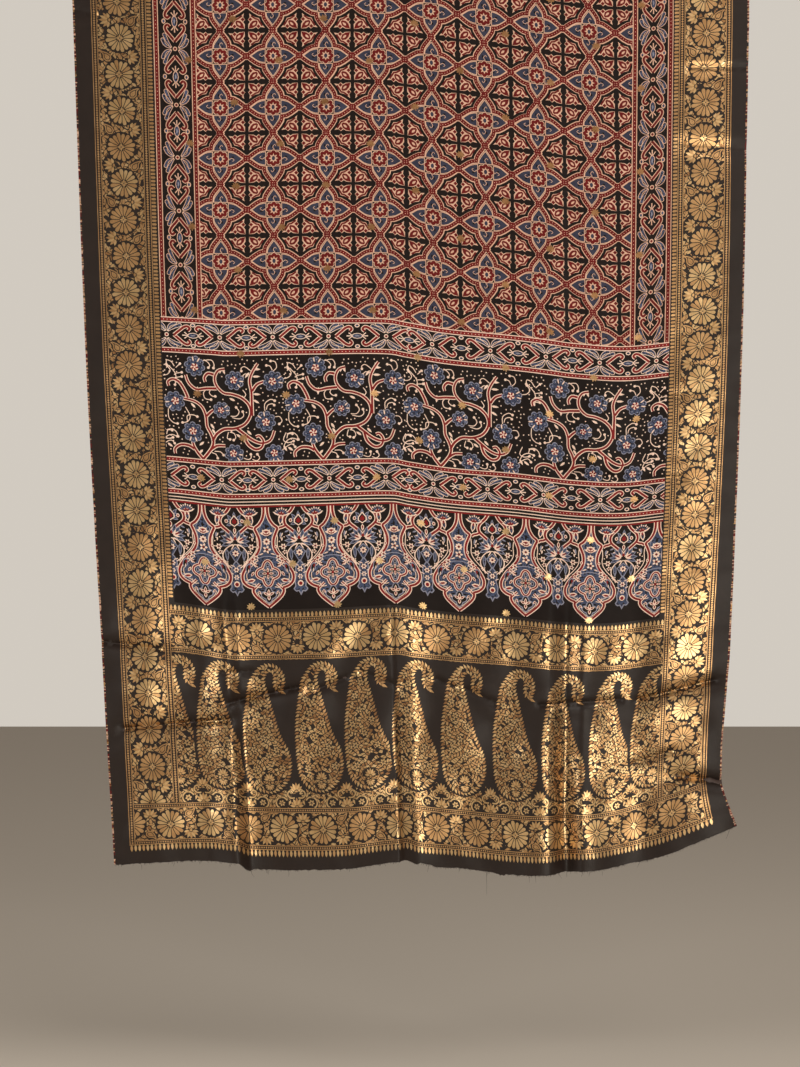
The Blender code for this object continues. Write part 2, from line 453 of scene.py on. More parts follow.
# The scroll bands: paired red brackets round a blue spindle, and leaves round a ringed dot.
scroll = {"half": 38.0, "bracket": ((0, 10.4), (-6.0, 17.6), (-12.0, 25.0), (-13.2, 30.4), (-10.0, 33.4), (-7.0, 30.6)),
          "upperBlade": ((-5.2, -1.6), (-8.4, -6.6), (-11.6, -12.0), (-14.6, -19.4)),
          "lowerBlade": ((-5.2, -1.6), (-10.6, -2.8), (-14.8, -6.4), (-17.2, -12.4)),
          "downLeft": (-47, 30.5, 107, 185.5, 259, 333.5, 409, 484),
          "downRight": (-32, 39.5, 111, 187.5, 261.5, 337, 408.5, 479.5),
          "across": (-430, -354, -278, -202, -122, -39.5, 27, 111, 191, 269, 351, 430),
          "acrossLow": (-442, -366, -283, -208.5, -127, -45, 25.5, 106, 189, 273.5, 354.5, 436)}


def scrollCross():
    # the ringed dot with its four forked leaves and two brackets, running down
    bracket = curve(scroll["bracket"], 3)
    pair = halves(pipedStroke(bracket, 5.3, 3.2, "cream", "madder"))
    drawn = pair + flipped(pair)
    for blade in ("lowerBlade", "upperBlade"):
        line = curve(scroll[blade], 3)
        leaf = halves(stroke("cream", line, 2.4, 5.8) + oval("cream", line[-1][0], line[-1][1], 2.9, sides=7)
                      + stroke("blue", line[1:], 1.3, 4.2) + oval("blue", line[-1][0], line[-1][1], 2.1, sides=6))
        drawn += leaf + flipped(leaf)
    return drawn + oval("cream", 0, 0, 3.2) + oval("madder", 0, 0, 1.9, sides=6)


def scrollSpindle():
    drawn = oval("cream", 0, 0, 4.2, 8.2, 10) + oval("blue", 0, 0, 3.3, 7.1, 8) + oval("skyBlue", 0, 0, 1.2, 3.6, 5)
    prongs = stroke("cream", [(0, 8.0), (0, 15.4)], 1.2, 1.7)
    prongs += halves(stroke("cream", [(1.0, 7.8), (4.6, 12.4)], 1.1, 1.6))
    drawn += prongs + flipped(prongs)
    return drawn + halves(oval("cream", 15.2, 0, 3.0, 3.8) + oval("blue", 15.2, 0, 1.7, 2.4, 6))


def drawScroll(dots, fixed, across=False, squeeze=1.0):
    drawn = []
    turn = -90 if across else 0
    cross = [(dye, outline * (squeeze, 1)) for dye, outline in scrollCross()]
    spindle = [(dye, outline * (squeeze, 1)) for dye, outline in scrollSpindle()]
    dots = [2 * dots[0] - dots[1], *dots, 2 * dots[-1] - dots[-2]]
    for dot, following in zip(dots, dots[1:]):
        middle = (dot + following) / 2
        drawn += place(cross, *((dot, fixed) if across else (fixed, dot)), turn)
        drawn += place(spindle, *((middle, fixed) if across else (fixed, middle)), turn)
    return drawn


def brighter(drawing):
    # the lower bands are cleaner in colour than the field
    clean = {"indigo": "blue", "cream": "paleCream", "madder": "red"}
    return [(clean.get(dye, dye), outline) for dye, outline in drawing]


# The vine band: branching red stems with blue flowers. x from the fork's foot, y up from its line.
vine = {
    "feet": (-482, -308, -134.5, 37, 218.5, 394), "stretch": 1.04,
    "stems": (
        ((0, 0), (-8, 9), (-13, 18), (-14, 25)),
        ((-12, 13), (-20, 17), (-31, 17), (-39, 11), (-39, 4)),
        ((0, 0), (11, 14), (15, 25), (12, 36), (7, 46), (6, 60), (1, 72), (-9, 79), (-24, 82)),
        ((-18, 83), (-22, 93), (-29, 104), (-38, 108), (-45, 104), (-44, 98)),
        ((11, 14), (20, 20), (31, 21)),
        ((7, 60), (13, 66), (17, 69)),
        ((14, 26), (20, 36), (31, 44), (46, 45), (60, 51), (68, 64), (66, 77), (56, 87), (43, 92), (31, 94),
         (22, 103), (20, 114), (25, 124), (34, 127)),
        ((70, 62), (70, 80), (70, 95), (68, 110), (72, 122), (80, 134)),
        ((71, 96), (78, 105), (88, 109)),
        ((22, 99), (8, 98), (-6, 96), (-16, 104), (-20, 115)),
        ((19, 118), (11, 119), (6, 113), (7, 107)),
        ((48, 45), (58, 37), (70, 28), (82, 24), (94, 28), (100, 41)),
        ((58, 36), (62, 24), (72, 16), (81, 18), (84, 27), (79, 34), (74, 33)),
    ),
    "flowers": ((-13, 36, 14, 90), (43, 10, 13, 150), (28, 70, 11, 200), (47, 111, 13, 150), (101, 109, 14, 190),
                (-7, 128, 14, 260), (88, 54, 14, 300), (99, 9, 13, 100), (-37, 77, 14, 30)),
    "leaves": ((-4, 98, 9, 95), (-4, 92, 8, 270), (-8, 70, 9, 225), (14, 43, 9, 60), (12, 50, 9, 55), (2, 24, 9, 140),
               (0, 13, 9, 135), (40, 47, 8, 85), (47, 83, 9, 205), (62, 42, 9, 45), (72, 84, 10, 30),
               (72, 92, 11, 5), (72, 116, 11, 0), (72, 126, 12, 0), (68, 122, 10, 130), (75, 133, 9, 60),
               (78, 133, 10, 120), (28, 128, 8, 95), (31, 128, 9, 70), (77, 13, 10, 300), (54, 32, 9, 215),
               (112, 20, 9, 60), (118, 18, 9, 35)),
    "tendrils": (
        ((-22, 70), (-16, 58), (-20, 50), (-27, 48)), ((-46, 66), (-46, 54), (-40, 47), (-34, 46)),
        ((-20, 50), (-20, 58), (-12, 60), (-6, 58)), ((10, 98), (4, 92), (6, 84), (14, 83)),
        ((14, 97), (12, 92), (16, 88), (20, 88)), ((58, 98), (62, 92), (60, 88), (57, 88)),
        ((40, 62), (48, 62), (52, 68), (48, 74)), ((42, 60), (52, 58), (58, 62), (57, 68)),
        ((88, 68), (88, 78), (96, 84), (102, 82)), ((90, 70), (92, 76), (98, 78), (101, 76)),
        ((102, 60), (108, 60), (111, 54), (107, 50)), ((100, 122), (106, 128), (104, 136), (98, 137)),
        ((100, 124), (97, 130), (92, 131)), ((114, 112), (122, 114), (126, 120), (122, 126)),
        ((6, 138), (12, 134), (14, 130), (12, 127)), ((4, 136), (16, 138), (20, 132), (19, 127)),
        ((116, 38), (112, 28), (118, 24), (126, 26)), ((112, 18), (116, 26), (124, 30), (132, 28)),
        ((110, 14), (118, 20), (124, 22), (128, 18)), ((56, 4), (62, 2), (66, 4), (66, 9)),
        ((68, 2), (74, 0), (78, 4), (75, 9)), ((12, 10), (18, 8), (20, 3)), ((16, 12), (24, 12), (28, 8)),
        ((36, 40), (34, 32), (38, 30)), ((38, 40), (44, 38), (46, 32), (43, 29)),
        ((122, 128), (132, 118), (134, 108), (132, 100)), ((132, 126), (128, 132), (122, 134), (121, 128)),
        ((-50, 36), (-42, 38), (-36, 34), (-34, 28)), ((-50, 30), (-48, 36), (-42, 36)),
        ((70, 118), (62, 120), (58, 116)), ((70, 124), (62, 130), (57, 128), (57, 124)),
        ((134, 124), (140, 130)), ((133, 116), (142, 118)), ((132, 110), (142, 112)), ((132, 104), (140, 104)),
    ),
}


def vineFlower(radius, turn):
    petals = 8
    drawn = lobed("skyBlue", 0, 0, radius + 0.8, radius * 0.24, petals)
    drawn += lobed("indigo", 0, 0, radius - 0.5, radius * 0.24, petals)
    for i in range(petals):
        a = i * 2 * math.pi / petals
        drawn += oval("skyBlue", radius * 0.72 * math.cos(a), radius * 0.72 * math.sin(a), 1.1, sides=5)
        b = a + math.pi / petals
        drawn += stroke("black", [(radius * 0.46 * math.cos(b), radius * 0.46 * math.sin(b)),
                                  (radius * 0.80 * math.cos(b), radius * 0.80 * math.sin(b))], 0.8)
    drawn += lobed("cream", radius * 0.1, 0, radius * 0.40, 1.8, 5)
    for i in range(5):
        drawn += place(leafShape("madder", 0.8, 0, radius * 0.36, 2.6), radius * 0.1, 0, i * 72 + 20)
    # the calyx, where the petals part above the stem
    for side in (-22, 22):
        drawn += place(leafShape("cream", radius * 0.46, 0, radius * 0.56, 2.0), turn=180 + side)
    return place(drawn, turn=turn)


def vineUnit():
    edges, cores, drawn = [], [], []
    for stem in vine["stems"]:
        line = curve(stem, 4)
        edges += stroke("cream", line, 5.4, 4.4)
        cores += stroke("madder", line, 3.1, 2.2)
    for line in vine["tendrils"]:
        smooth = curve(line, 3)
        drawn += stroke("cream", smooth, 1.1, 1.3) + oval("cream", smooth[-1][0], smooth[-1][1], 2.0, sides=6)
    for x, y, length, turn in vine["leaves"]:
        drawn += leafShape("cream", x, y, length, 3.4, -turn)
    drawn += edges + cores
    for x, y, radius, turn in vine["flowers"]:
        drawn += place(vineFlower(radius, turn), x, y)
    rnd = random.Random(7)
    solid = np.concatenate([outline for _, outline in drawn])
    for _ in range(900):
        spot = (rnd.uniform(-50, 118), rnd.uniform(4, 141))
        if np.min(np.hypot(solid[:, 0] - spot[0], solid[:, 1] - spot[1])) > 3.3:
            dot = oval("cream", spot[0], spot[1], 1.05, sides=5)
            drawn += dot
            solid = np.concatenate([solid, dot[0][1]])
    return drawn


def drawVine():
    foot = layout["tripleThree"] - 4
    unit = [(dye, outline * (vine["stretch"], -1)) for dye, outline in vineUnit()]
    drawn = []
    for x in vine["feet"]:
        drawn += place(unit, x, foot)
    return brighter(drawn)


# The lamp band: indigo lamps that end in pointed drops, with black ogees between them.
lamp = {
    "middles": (-408, -314, -222, -127, -35, 62, 163, 261, 361, 460), "stretch": 1.06, "tall": 0.945,
    "side": ((2.6, -4), (2.6, 8), (5, 18), (10, 26), (15.5, 31), (13.5, 37), (10.3, 46), (9.6, 55), (12, 65),
             (19.5, 75), (27.5, 84), (33.5, 94), (35.5, 101), (34, 109), (28, 115), (20, 118)),
    "foot": ((20, 118), (21, 123), (17.5, 130), (9, 138.5), (0, 146)),
    "onion": ((5, -3), (10, 6), (17, 13), (19.6, 20), (17.6, 27), (10, 34), (4, 40), (0, 47)),
    "pendant": ((0, 78), (4.5, 84), (6.5, 92), (5.5, 100), (8, 108), (7, 116), (9.5, 120), (6, 124), (3, 123), (0, 129)),
}


def carnation():
    drawn = []
    for i, turn in enumerate(range(-164, -15, 18)):
        drawn += leafShape("cream", 0, 0, 12.6 - (i % 2) * 1.4, 4.6, turn)
    for turn in range(-155, -24, 18):
        drawn += place(leafShape("indigo", 4.0, 0, 6.8, 2.6), turn=turn)
    drawn += place(leafShape("cream", -2.5, 0, 17, 7.6), turn=90) + place(leafShape("indigo", 2, 0, 10, 4.2), turn=90)
    for turn in (-140, -90, -40, 90):
        drawn += place(leafShape("madder", 0.5, 0, 5.6, 3.0), turn=turn)
    return drawn


def fanFlower():
    drawn = []
    for turn in range(-52, 53, 26):
        drawn += place(leafShape("skyBlue", 2, 0, 15.5, 6.0), turn=turn)
    for turn in range(-52, 53, 26):
        drawn += place(leafShape("indigo", 4.5, 0, 11.0, 3.6), turn=turn)
    for turn in range(-39, 40, 26):
        drawn += place(leafShape("cream", 0, 0, 10.0, 2.8), turn=turn)
    drawn += leafShape("madder", 2.2, 0, 8.5, 2.6)
    return drawn


def floret(radius, petals=6, heart="madder", rim="cream"):
    drawn = []
    for i in range(petals):
        drawn += place(leafShape(rim, radius * 0.2, 0, radius * 0.82, radius * 0.55), turn=i * 360 / petals)
    return drawn + oval("black", 0, 0, radius * 0.36, sides=6) + oval(heart, 0, 0, radius * 0.24, sides=5)


def quatrefoil(size, layers):
    a = np.linspace(0, 2 * math.pi, 32, endpoint=False)
    reach = 0.68 + 0.32 * np.abs(np.cos(2 * a)) ** 1.4
    outline = np.stack([reach * np.cos(a) * size[0], reach * np.sin(a) * size[1]], axis=1)
    return banded(outline, *layers)


def lampColumn():
    side = curve(lamp["side"], 3)
    foot = curve(lamp["foot"], 3)
    right = np.concatenate([side[:-1], foot])
    outline = np.concatenate([right, right[-2::-1] * (-1, 1)])
    drawn = shape("indigo", outline)
    edge = stroke("cream", side, 5.4) + stroke("cream", foot, 5.4)
    # inside the bulb a dark line and a pale one run beside the edge
    inner = curve([(15.5, 79), (23, 87.5), (28.6, 96), (29.6, 101), (28.4, 106), (24, 111), (17, 113.4)], 3)
    point = curve([(15.4, 124), (13.4, 130), (7.2, 136.2), (0, 141.4)], 3)
    edge += stroke("black", inner, 2.4) + stroke("cream", inner, 1.0)
    edge += stroke("black", point, 2.4) + stroke("cream", point, 1.0)
    neck = curve([(3.8, 22), (8.0, 29), (9.6, 34), (7.4, 44), (6.6, 55), (9.2, 65), (15, 72)], 3)
    drawn += halves(edge + stroke("skyBlue", neck, 0.9))
    # ties from the drop's sides to its quatrefoil
    ties = stroke("cream", [(13, 86), (26, 78)], 4.2) + stroke("madder", [(13, 86), (26, 78)], 1.6)
    ties += stroke("cream", [(12, 112), (21, 121)], 4.2) + stroke("madder", [(12, 112), (21, 121)], 1.6)
    drawn += halves(ties)
    drawn += halves(stroke("madder", side, 3.0) + stroke("madder", foot, 3.0))
    drawn += halves(leafShape("black", 18, 92, 10, 5.4, 62) + leafShape("cream", 19, 94, 8.4, 4.0, 58)
                    + leafShape("madder", 20, 95.6, 5.4, 2.0, 58)
                    + stroke("cream", curve([(12.4, 78), (16.6, 80.4), (18.6, 84.6), (16.4, 87.6)], 2), 1.1)
                    + stroke("cream", curve([(9, 116.5), (14, 117.5), (17.6, 114.6), (17.4, 110.6)], 2), 1.1)
                    + oval("black", 13.6, 84.4, 2.0, 1.4, 6) + oval("black", 24.8, 90.6, 1.5, 2.4, 6)
                    + oval("black", 8.4, 121.6, 2.4, 1.4, 6))
    drawn += place(quatrefoil((18.4, 21.0), (("cream", 0), ("madder", 1.0), ("cream", 3.0), ("indigo", 4.0),
                                            ("skyBlue", 6.8), ("black", 7.6))), 0, 97)
    for turn in (45, 135, 225, 315):
        drawn += place(leafShape("cream", 4.6, 0, 7.0, 3.2) + leafShape("madder", 5.6, 0, 4.4, 1.5), 0, 97, turn)
    cross = halves(leafShape("cream", 1, 0, 8, 3.6)) + halves(leafShape("madder", 2.5, 0, 4.5, 1.8))
    drawn += place(cross, 0, 97) + place(cross, 0, 97, 90) + oval("madder", 0, 97, 2.0, 2.6)
    drawn += halves(oval("skyBlue", 9.8, 97, 2.4, 3.4) + oval("black", 9.8, 97, 1.2, 2.2, 6))
    drawn += oval("skyBlue", 0, 85, 3.2, 2.6) + oval("black", 0, 85, 1.8, 1.4, 6)
    drawn += oval("skyBlue", 0, 109, 3.2, 2.8) + oval("black", 0, 109, 1.8, 1.5, 6)
    lobe = leafShape("skyBlue", 25, 81, 17, 8.4, 78) + leafShape("black", 26, 83.5, 12.5, 5.2, 80)
    lobe += leafShape("madder", 24.5, 83.5, 6.5, 2.8, 80) + leafShape("cream", 26.2, 90, 6.5, 1.4, 80)
    boat = leafShape("cream", 17.5, 106, 14.5, 6.8, 12) + leafShape("madder", 19.5, 106.6, 9.5, 3.2, 12)
    boat += stroke("skyBlue", [(17, 112), (26, 110.5), (31, 105)], 1.4)
    drawn += halves(lobe + boat)
    drawn += place(quatrefoil((11.5, 12.5), (("skyBlue", 0), ("black", 1.6))), 0, 128.5)
    for turn in (-150, -90, -30):
        drawn += place(leafShape("cream", 0, 0, 9.0, 4.2) + leafShape("madder", 2, 0, 5.0, 2.0), 0, 129, turn)
    drawn += place(leafShape("cream", 0, 0, 7.5, 5.0) + leafShape("madder", 1.0, 0, 4.6, 2.6), 0, 129, 90)
    drawn += halves(leafShape("cream", 14, 122, 6.5, 3.0, 120) + leafShape("madder", 13.7, 123, 3.8, 1.4, 120))
    # neck: a tulip, a floret, a trefoil and small buds
    for turn in (-165, -128, -90, -52, -15):
        drawn += place(leafShape("cream", 0, 0, 9.2, 4.2), 0, 40, turn)
    drawn += oval("cream", 0, 37.5, 6.2, 5.0, 10) + oval("madder", 0, 38.0, 4.8, 3.5, 8)
    drawn += place(halves(leafShape("cream", 0, 0, 5.5, 2.2, -35)), 0, 39.5) + leafShape("black", 0, 33, 9, 3.0, -90)
    drawn += place(floret(5.6, 8), 0, 50.5) + place(floret(6.0, 5), 0, 62)
    drawn += halves(floretsBeside())
    drawn += stroke("skyBlue", curve([(-15, 76), (-8, 73), (0, 72), (8, 73), (15, 76)], 2), 1.3)
    return drawn


def floretsBeside():
    drawn = place(floret(4.4, 6), 15.5, 74)
    drawn += oval("cream", 12.4, 58, 2.0, 2.6) + oval("madder", 12.4, 58, 1.0, 1.5, 5)
    drawn += leafShape("cream", 5, 67.5, 7, 2.0, 20) + place(floret(3.4, 5), 21, 80)
    return drawn


def ogeeBetween():
    # what stands in the black ogee between two lamps, about its own middle line
    onion = curve(lamp["onion"], 3)
    drawn = halves(stroke("cream", onion, 5.4))
    shoulder = curve([(17.6, 27), (22, 29.4), (26, 30.5), (29.4, 33)], 3)
    drawn += halves(stroke("cream", shoulder, 5.2) + stroke("madder", shoulder, 2.6))
    drawn += halves(stroke("madder", onion, 3.0))
    for turn, reach in ((-158, 11), (-130, 13), (-90, 14), (-50, 13), (-22, 11), (158, 10), (22, 10)):
        drawn += place(leafShape("skyBlue", 2, 0, reach, 5.0) + leafShape("indigo", 4, 0, reach - 4, 2.8), 0, 22, turn)
    heart = [(0, 13), (4.6, 19), (4.8, 23), (0, 26.5), (-4.8, 23), (-4.6, 19)]
    drawn += banded(heart, ("cream", -1.4), ("black", 0.0), ("madder", 1.6))
    drawn += halves(oval("cream", 10.8, 20, 2.4, 2.9) + oval("madder", 10.8, 20, 1.3, 1.7, 6))
    drawn += place(leafShape("cream", 0, 0, 10, 4.6) + leafShape("madder", 1.5, 0, 6, 2.2), 0, 29, 90)
    inside = curve([(30.4, 37), (29.6, 46), (30.4, 55), (28.4, 63), (22.0, 72), (14.5, 80), (9.6, 88)], 2)
    drawn += halves(stroke("cream", inside, 1.2) + leafShape("cream", 22, 38, 7.5, 2.2, 62)
                    + leafShape("skyBlue", 24.5, 37, 8.5, 2.8, 80) + leafShape("cream", 24, 50, 6, 2.0, -100)
                    + leafShape("cream", 11, 40, 6.5, 2.2, 30) + leafShape("skyBlue", 13.5, 34.5, 7, 2.6, 25))
    for x, y in ((27.2, 50.5), (27.5, 58), (25, 45.5), (9, 45), (20.4, 44), (6.4, 88)):
        drawn += halves(oval("cream", x, y, 1.0))
    drawn += halves(place(fanFlower(), 3.0, 50, -28))
    drawn += halves(place(floret(4.6, 6), 22, 58) + place(floret(3.8, 5), 20, 66) + place(floret(3.4, 5), 13, 81))
    ring = curve([(0, 54), (9, 57), (16, 66), (16.5, 75), (11, 84), (3, 90)], 3)
    drawn += halves(stroke("cream", ring, 1.5))
    drawn += halves(leafShape("skyBlue", 11.8, 60, 19, 5.2, 92) + leafShape("indigo", 11.8, 62, 14, 2.8, 92))
    diamond = [(0, 57), (9.0, 65.5), (0, 82), (-9.0, 65.5)]
    drawn += banded(diamond, ("skyBlue", 0), ("indigo", 1.3), ("black", 4.0))
    drawn += place(floret(5.0, 7), 0, 67)
    for turn in (-150, -120, -60, -30):
        drawn += place(leafShape("cream", 3, 0, 9.5, 1.8), 0, 51.5, turn + 180 if turn < -90 else turn + 180)
    right = curve(lamp["pendant"], 2)
    outline = np.concatenate([right, right[-2:0:-1] * (-1, 1)])
    drawn += banded(outline, ("skyBlue", -0.6), ("indigo", 1.0))
    drawn += place(floret(4.4, 6), 0, 91) + place(floret(4.0, 6), 0, 102)
    drawn += oval("cream", 0, 112, 4.2, 4.6) + oval("madder", 0, 112.4, 2.7, 2.9) + leafShape("skyBlue", 0, 106, 5, 2, -90)
    drawn += halves(stroke("cream", [(2, 86), (7.5, 84)], 1.2) + stroke("cream", [(4, 97), (8.5, 95)], 1.2))
    return drawn


def drawLamps():
    top = layout["lampTop"]
    left, right = layout["printLeft"], layout["printRight"]
    middles = lamp["middles"]

    def sized(drawing):
        return [(dye, outline * (lamp["stretch"], lamp["tall"])) for dye, outline in drawing]

    between = sized(ogeeBetween())
    column = sized(lampColumn() + halves(place(carnation(), 21.5, 12.5, 8)))
    drawn = []
    for x, following in zip(middles, middles[1:]):
        drawn += place(between, (x + following) / 2, top)
    for x in middles:
        drawn += place(column, x, top)
    drawn += stroke("black", straight(left, top - 4.2, right, top - 4.2), 8.4)
    drawn += stroke("cream", straight(left, top - 7.4, right, top - 7.4), 1.3)
    drawn += stroke("cream", straight(left, top - 3.0, right, top - 3.0), 1.3)
    return brighter(drawn + stroke("madder", straight(left, top - 0.8, right, top - 0.8), 2.4))


# Gold weaving: rosettes in leafy bands between fine dotted guard lines.
gold = {"rosetteRadius": 20.4, "petals": 16, "guardDotGap": 3.4, "ink": 0.5,
        "leftPitch": 50.9, "leftFirst": 94.5, "rightPitch": 48.8, "rightFirst": 52.2, "lowStretch": 1.06,
        "crossMiddles": (-385, -327, -272, -212, -154, -94, -38, 26, 87, 148, 211, 270, 335, 395),
        "lowMiddles": (-444, -386, -326, -270, -217, -158, -98, -41, 18, 82, 145, 213, 278, 340, 399, 458)}


def glint(seed):
    # painted highlight and painted shade: each gold leaf takes the plain gold, the copy with a painted highlight or the
    # copy with painted shade
    return ("gold", "paintedHighlightGold", "gold", "paintedHighlightGold", "paintedHighlightGold", "gold", "darkGold", "gold")[int(seed * 7919) % 8]


def inkedLeaf(x, y, length, width, turn):
    # a gold leaf about (x, y) with a thread of dark silk round it
    ink = gold["ink"]
    drawn = []
    for dye, long, wide in (("black", length + 3 * ink, width + 2 * ink), (glint(x * 1.7 + y), length, width)):
        leaf = [(-long / 2, 0), (-long * 0.12, -wide / 2), (long / 2, 0), (-long * 0.12, wide / 2)]
        drawn += place(shape(dye, leaf), x, y, turn)
    return drawn


def underFan(size, by=1.0):
    # the dark silk round a small fan that opens along +x
    turns = (-92, -60, -30, 0, 30, 60, 92)
    edge = [((size + by) * math.cos(math.radians(a)), (size + by) * math.sin(math.radians(a))) for a in turns]
    return shape("black", [(-size * 0.14, -size * 0.2)] + edge + [(-size * 0.14, size * 0.2)])


def rosette(radius, seed=0):
    petals = gold["petals"]
    rnd = random.Random(seed)
    inner = radius * 0.27
    halfInner = inner * math.sin(math.pi / petals) * 0.5
    # each rosette takes plain gold or the copy with a painted highlight, and most of its petals follow it
    tone = rnd.choice(("gold", "paintedHighlightGold"))
    drawn = oval("black", 0, 0, radius + 1.4, sides=20)
    for i in range(petals):
        outer = radius * (1.0 if i % 2 else 0.93) * rnd.uniform(0.97, 1.02)
        half = outer * math.sin(math.pi / petals) * 0.68
        petal = [(inner, -halfInner), (outer * 0.80, -half), (outer * 0.95, -half * 0.8), (outer, 0),
                 (outer * 0.95, half * 0.8), (outer * 0.80, half), (inner, halfInner)]
        dye = tone if rnd.random() < 0.8 else "gold"
        drawn += place(shape(dye, petal), turn=(i + 0.5) * 360 / petals)
    # the four leaves at the centre have a painted highlight
    for i in range(4):
        drawn += place(leafShape("paintedHighlightGold", 0.4, 0, radius * 0.25, 2.6), turn=i * 90)
        drawn += place(leafShape("gold", 1.0, 0, radius * 0.20, 1.6), turn=i * 90 + 45)
    return drawn


def palmette(size):
    # a small fan of petals that opens along +x from its foot
    drawn = []
    for i, turn in enumerate((-75, -48, -23, 0, 23, 48, 75)):
        reach = size * (1.0 - 0.055 * abs(i - 3) ** 1.6)
        # every other petal has a painted highlight
        drawn += place(leafShape("gold" if i % 2 else "paintedHighlightGold", size * 0.16, 0, reach * 0.84, size * 0.27), turn=turn)
    return drawn + oval("gold", 0, 0, size * 0.11, size * 0.16, 6)


def curledLeaf(size):
    # a drop with a row of dots inside it, pointing along +x
    drop = [(-size * 0.5, -size * 0.08), (-size * 0.3, -size * 0.36), (size * 0.02, -size * 0.42),
            (size * 0.36, -size * 0.22), (size * 0.66, size * 0.08), (size * 0.74, size * 0.30),
            (size * 0.40, size * 0.20), (size * 0.0, size * 0.36), (-size * 0.34, size * 0.24)]
    drawn = banded(np.array(drop), ("gold", 0), ("black", size * 0.10), ("gold", size * 0.17))
    return drawn + dotsAlong("black", [(-size * 0.26, -size * 0.04), (size * 0.3, -size * 0.02)], size * 0.16, 0.5)


def borderFiller():
    # what stands between two rosettes of the upright borders, fan to the left, curled leaf to the right
    drawn = []
    for x, y, length, width, turn in (
            (-24, -17, 11, 4.6, 115), (-25, 15, 10, 4.4, -120), (-19, -9, 9, 4.0, 150), (-17, 13, 10, 4.2, -150),
            (-10, -12, 9, 3.8, 165), (25, -16, 11, 4.6, 70), (26, 17, 10, 4.4, -60), (20, -11, 10, 4.2, 40),
            (17, 14, 9, 4.0, -30), (10, -13, 8, 3.8, 20), (27, 0, 8, 3.6, 90), (-27, 0, 8, 3.6, 90),
            (-5, 8, 9, 3.6, -125), (5, 9, 9, 3.6, -55), (-6, -7, 9, 3.6, 130), (6, -6, 9, 3.6, 45)):
        drawn += inkedLeaf(x, y, length, width, turn)
    drawn += place(underFan(15.5) + palmette(15.5), -12.5, 0.5, 180)
    drawn += place(oval("black", 1.4, 0, 11, 6.8, 8) + curledLeaf(15), 18, 1.5, -62)
    for x, y in ((9.2, -11.2), (12.2, -9.0), (8.6, -7.6), (-2.0, 12.6), (1.6, 13.0)):
        drawn += oval("black", x, y, 2.2, sides=6) + oval("gold", x, y, 1.5, sides=6)
    return drawn + inkedLeaf(0, 0.5, 9, 4.4, 90)


def leafMosaic(left, top, right, bottom, long, wide, seed, keep=None):
    # slanting gold leaves, point to point, with dark silk between them
    rnd = random.Random(seed)
    columns, rows = int((right - left) / long * 2) + 3, int((bottom - top) / wide * 2) + 3
    corners = {}
    for i in range(-2, columns + 1):
        for j in range(-2, rows + 1):
            if (i + j) % 2 == 0:
                x, y = left + i * long / 2, top + j * wide / 2
                corners[i, j] = (x + 1.9 * math.sin(y / 2.9 + 1.5 * math.sin(x / 9.7 + seed)) + rnd.uniform(-0.45, 0.45),
                                 y + 1.9 * math.sin(x / 3.3 + 1.5 * math.sin(y / 11.3 + seed)) + rnd.uniform(-0.45, 0.45))
    drawn = []
    for i in range(-1, columns):
        for j in range(-1, rows):
            if (i + j) % 2:
                leaf = np.array([corners[i - 1, j], corners[i, j - 1], corners[i + 1, j], corners[i, j + 1]])
                middle = leaf.mean(axis=0)
                if rnd.random() > 0.10 and (keep is None or keep(middle[0], middle[1])):
                    thin, full = rnd.uniform(0.55, 0.70), rnd.uniform(0.88, 0.98)
                    size = (thin, full) if rnd.random() < 0.5 else (full, thin)
                    drawn += shape(glint(rnd.random()), middle + (leaf - middle) * size)
    return drawn


def guardLine(line, width):
    # a gold stripe with rows of dark dots in it
    x1, y1 = line[0]
    x2, y2 = line[-1]
    length = math.hypot(x2 - x1, y2 - y1)
    across = np.array([-(y2 - y1) / length, (x2 - x1) / length])
    drawn = stroke("black", line, width)
    for side in (-1, 1):
        drawn += stroke("gold", line + across * side * (width / 2 - 0.9), 1.1)
    return drawn + dotsAlong("gold", line, gold["guardDotGap"], width * 0.19)


def teeth(x1, x2, y, up, tall=9.0):
    # a row of small drops that stand on the guard line
    drawn = []
    count = int((x2 - x1) / 5.9)
    for i in range(count):
        x = x1 + (i + 0.5) * (x2 - x1) / count
        drop = [(-0.9, 0), (-2.0, tall * 0.38), (-1.5, tall * 0.7), (0, tall), (1.5, tall * 0.7), (2.0, tall * 0.38), (0.9, 0)]
        # two in three drops have a painted highlight
        drawn += shape("paintedHighlightGold" if i % 3 else "gold", [(x + px, y + (-py if up else py)) for px, py in drop])
    return drawn


def drawRosettesDown(xLeft, xRight, first, pitch, bottom, seed):
    middle = (xLeft + xRight) / 2
    radius = gold["rosetteRadius"]
    filler = borderFiller()
    spots = []
    y = first - 3 * pitch
    while y < bottom + pitch:
        spots.append(y)
        y += pitch
    def clear(x, y):
        return min(math.hypot(x - middle, y - spot) for spot in spots) > radius - 1

    drawn = leafMosaic(xLeft, layout["top"], xRight, bottom, 8.0, 7.4, seed, clear)
    for i, spot in enumerate(spots):
        drawn += place(filler, middle, spot + pitch / 2, mirror=bool(i % 2))
    for i, spot in enumerate(spots):
        drawn += place(rosette(radius, seed + i), middle + (1.2 if i % 2 else -1.2), spot)
    return drawn


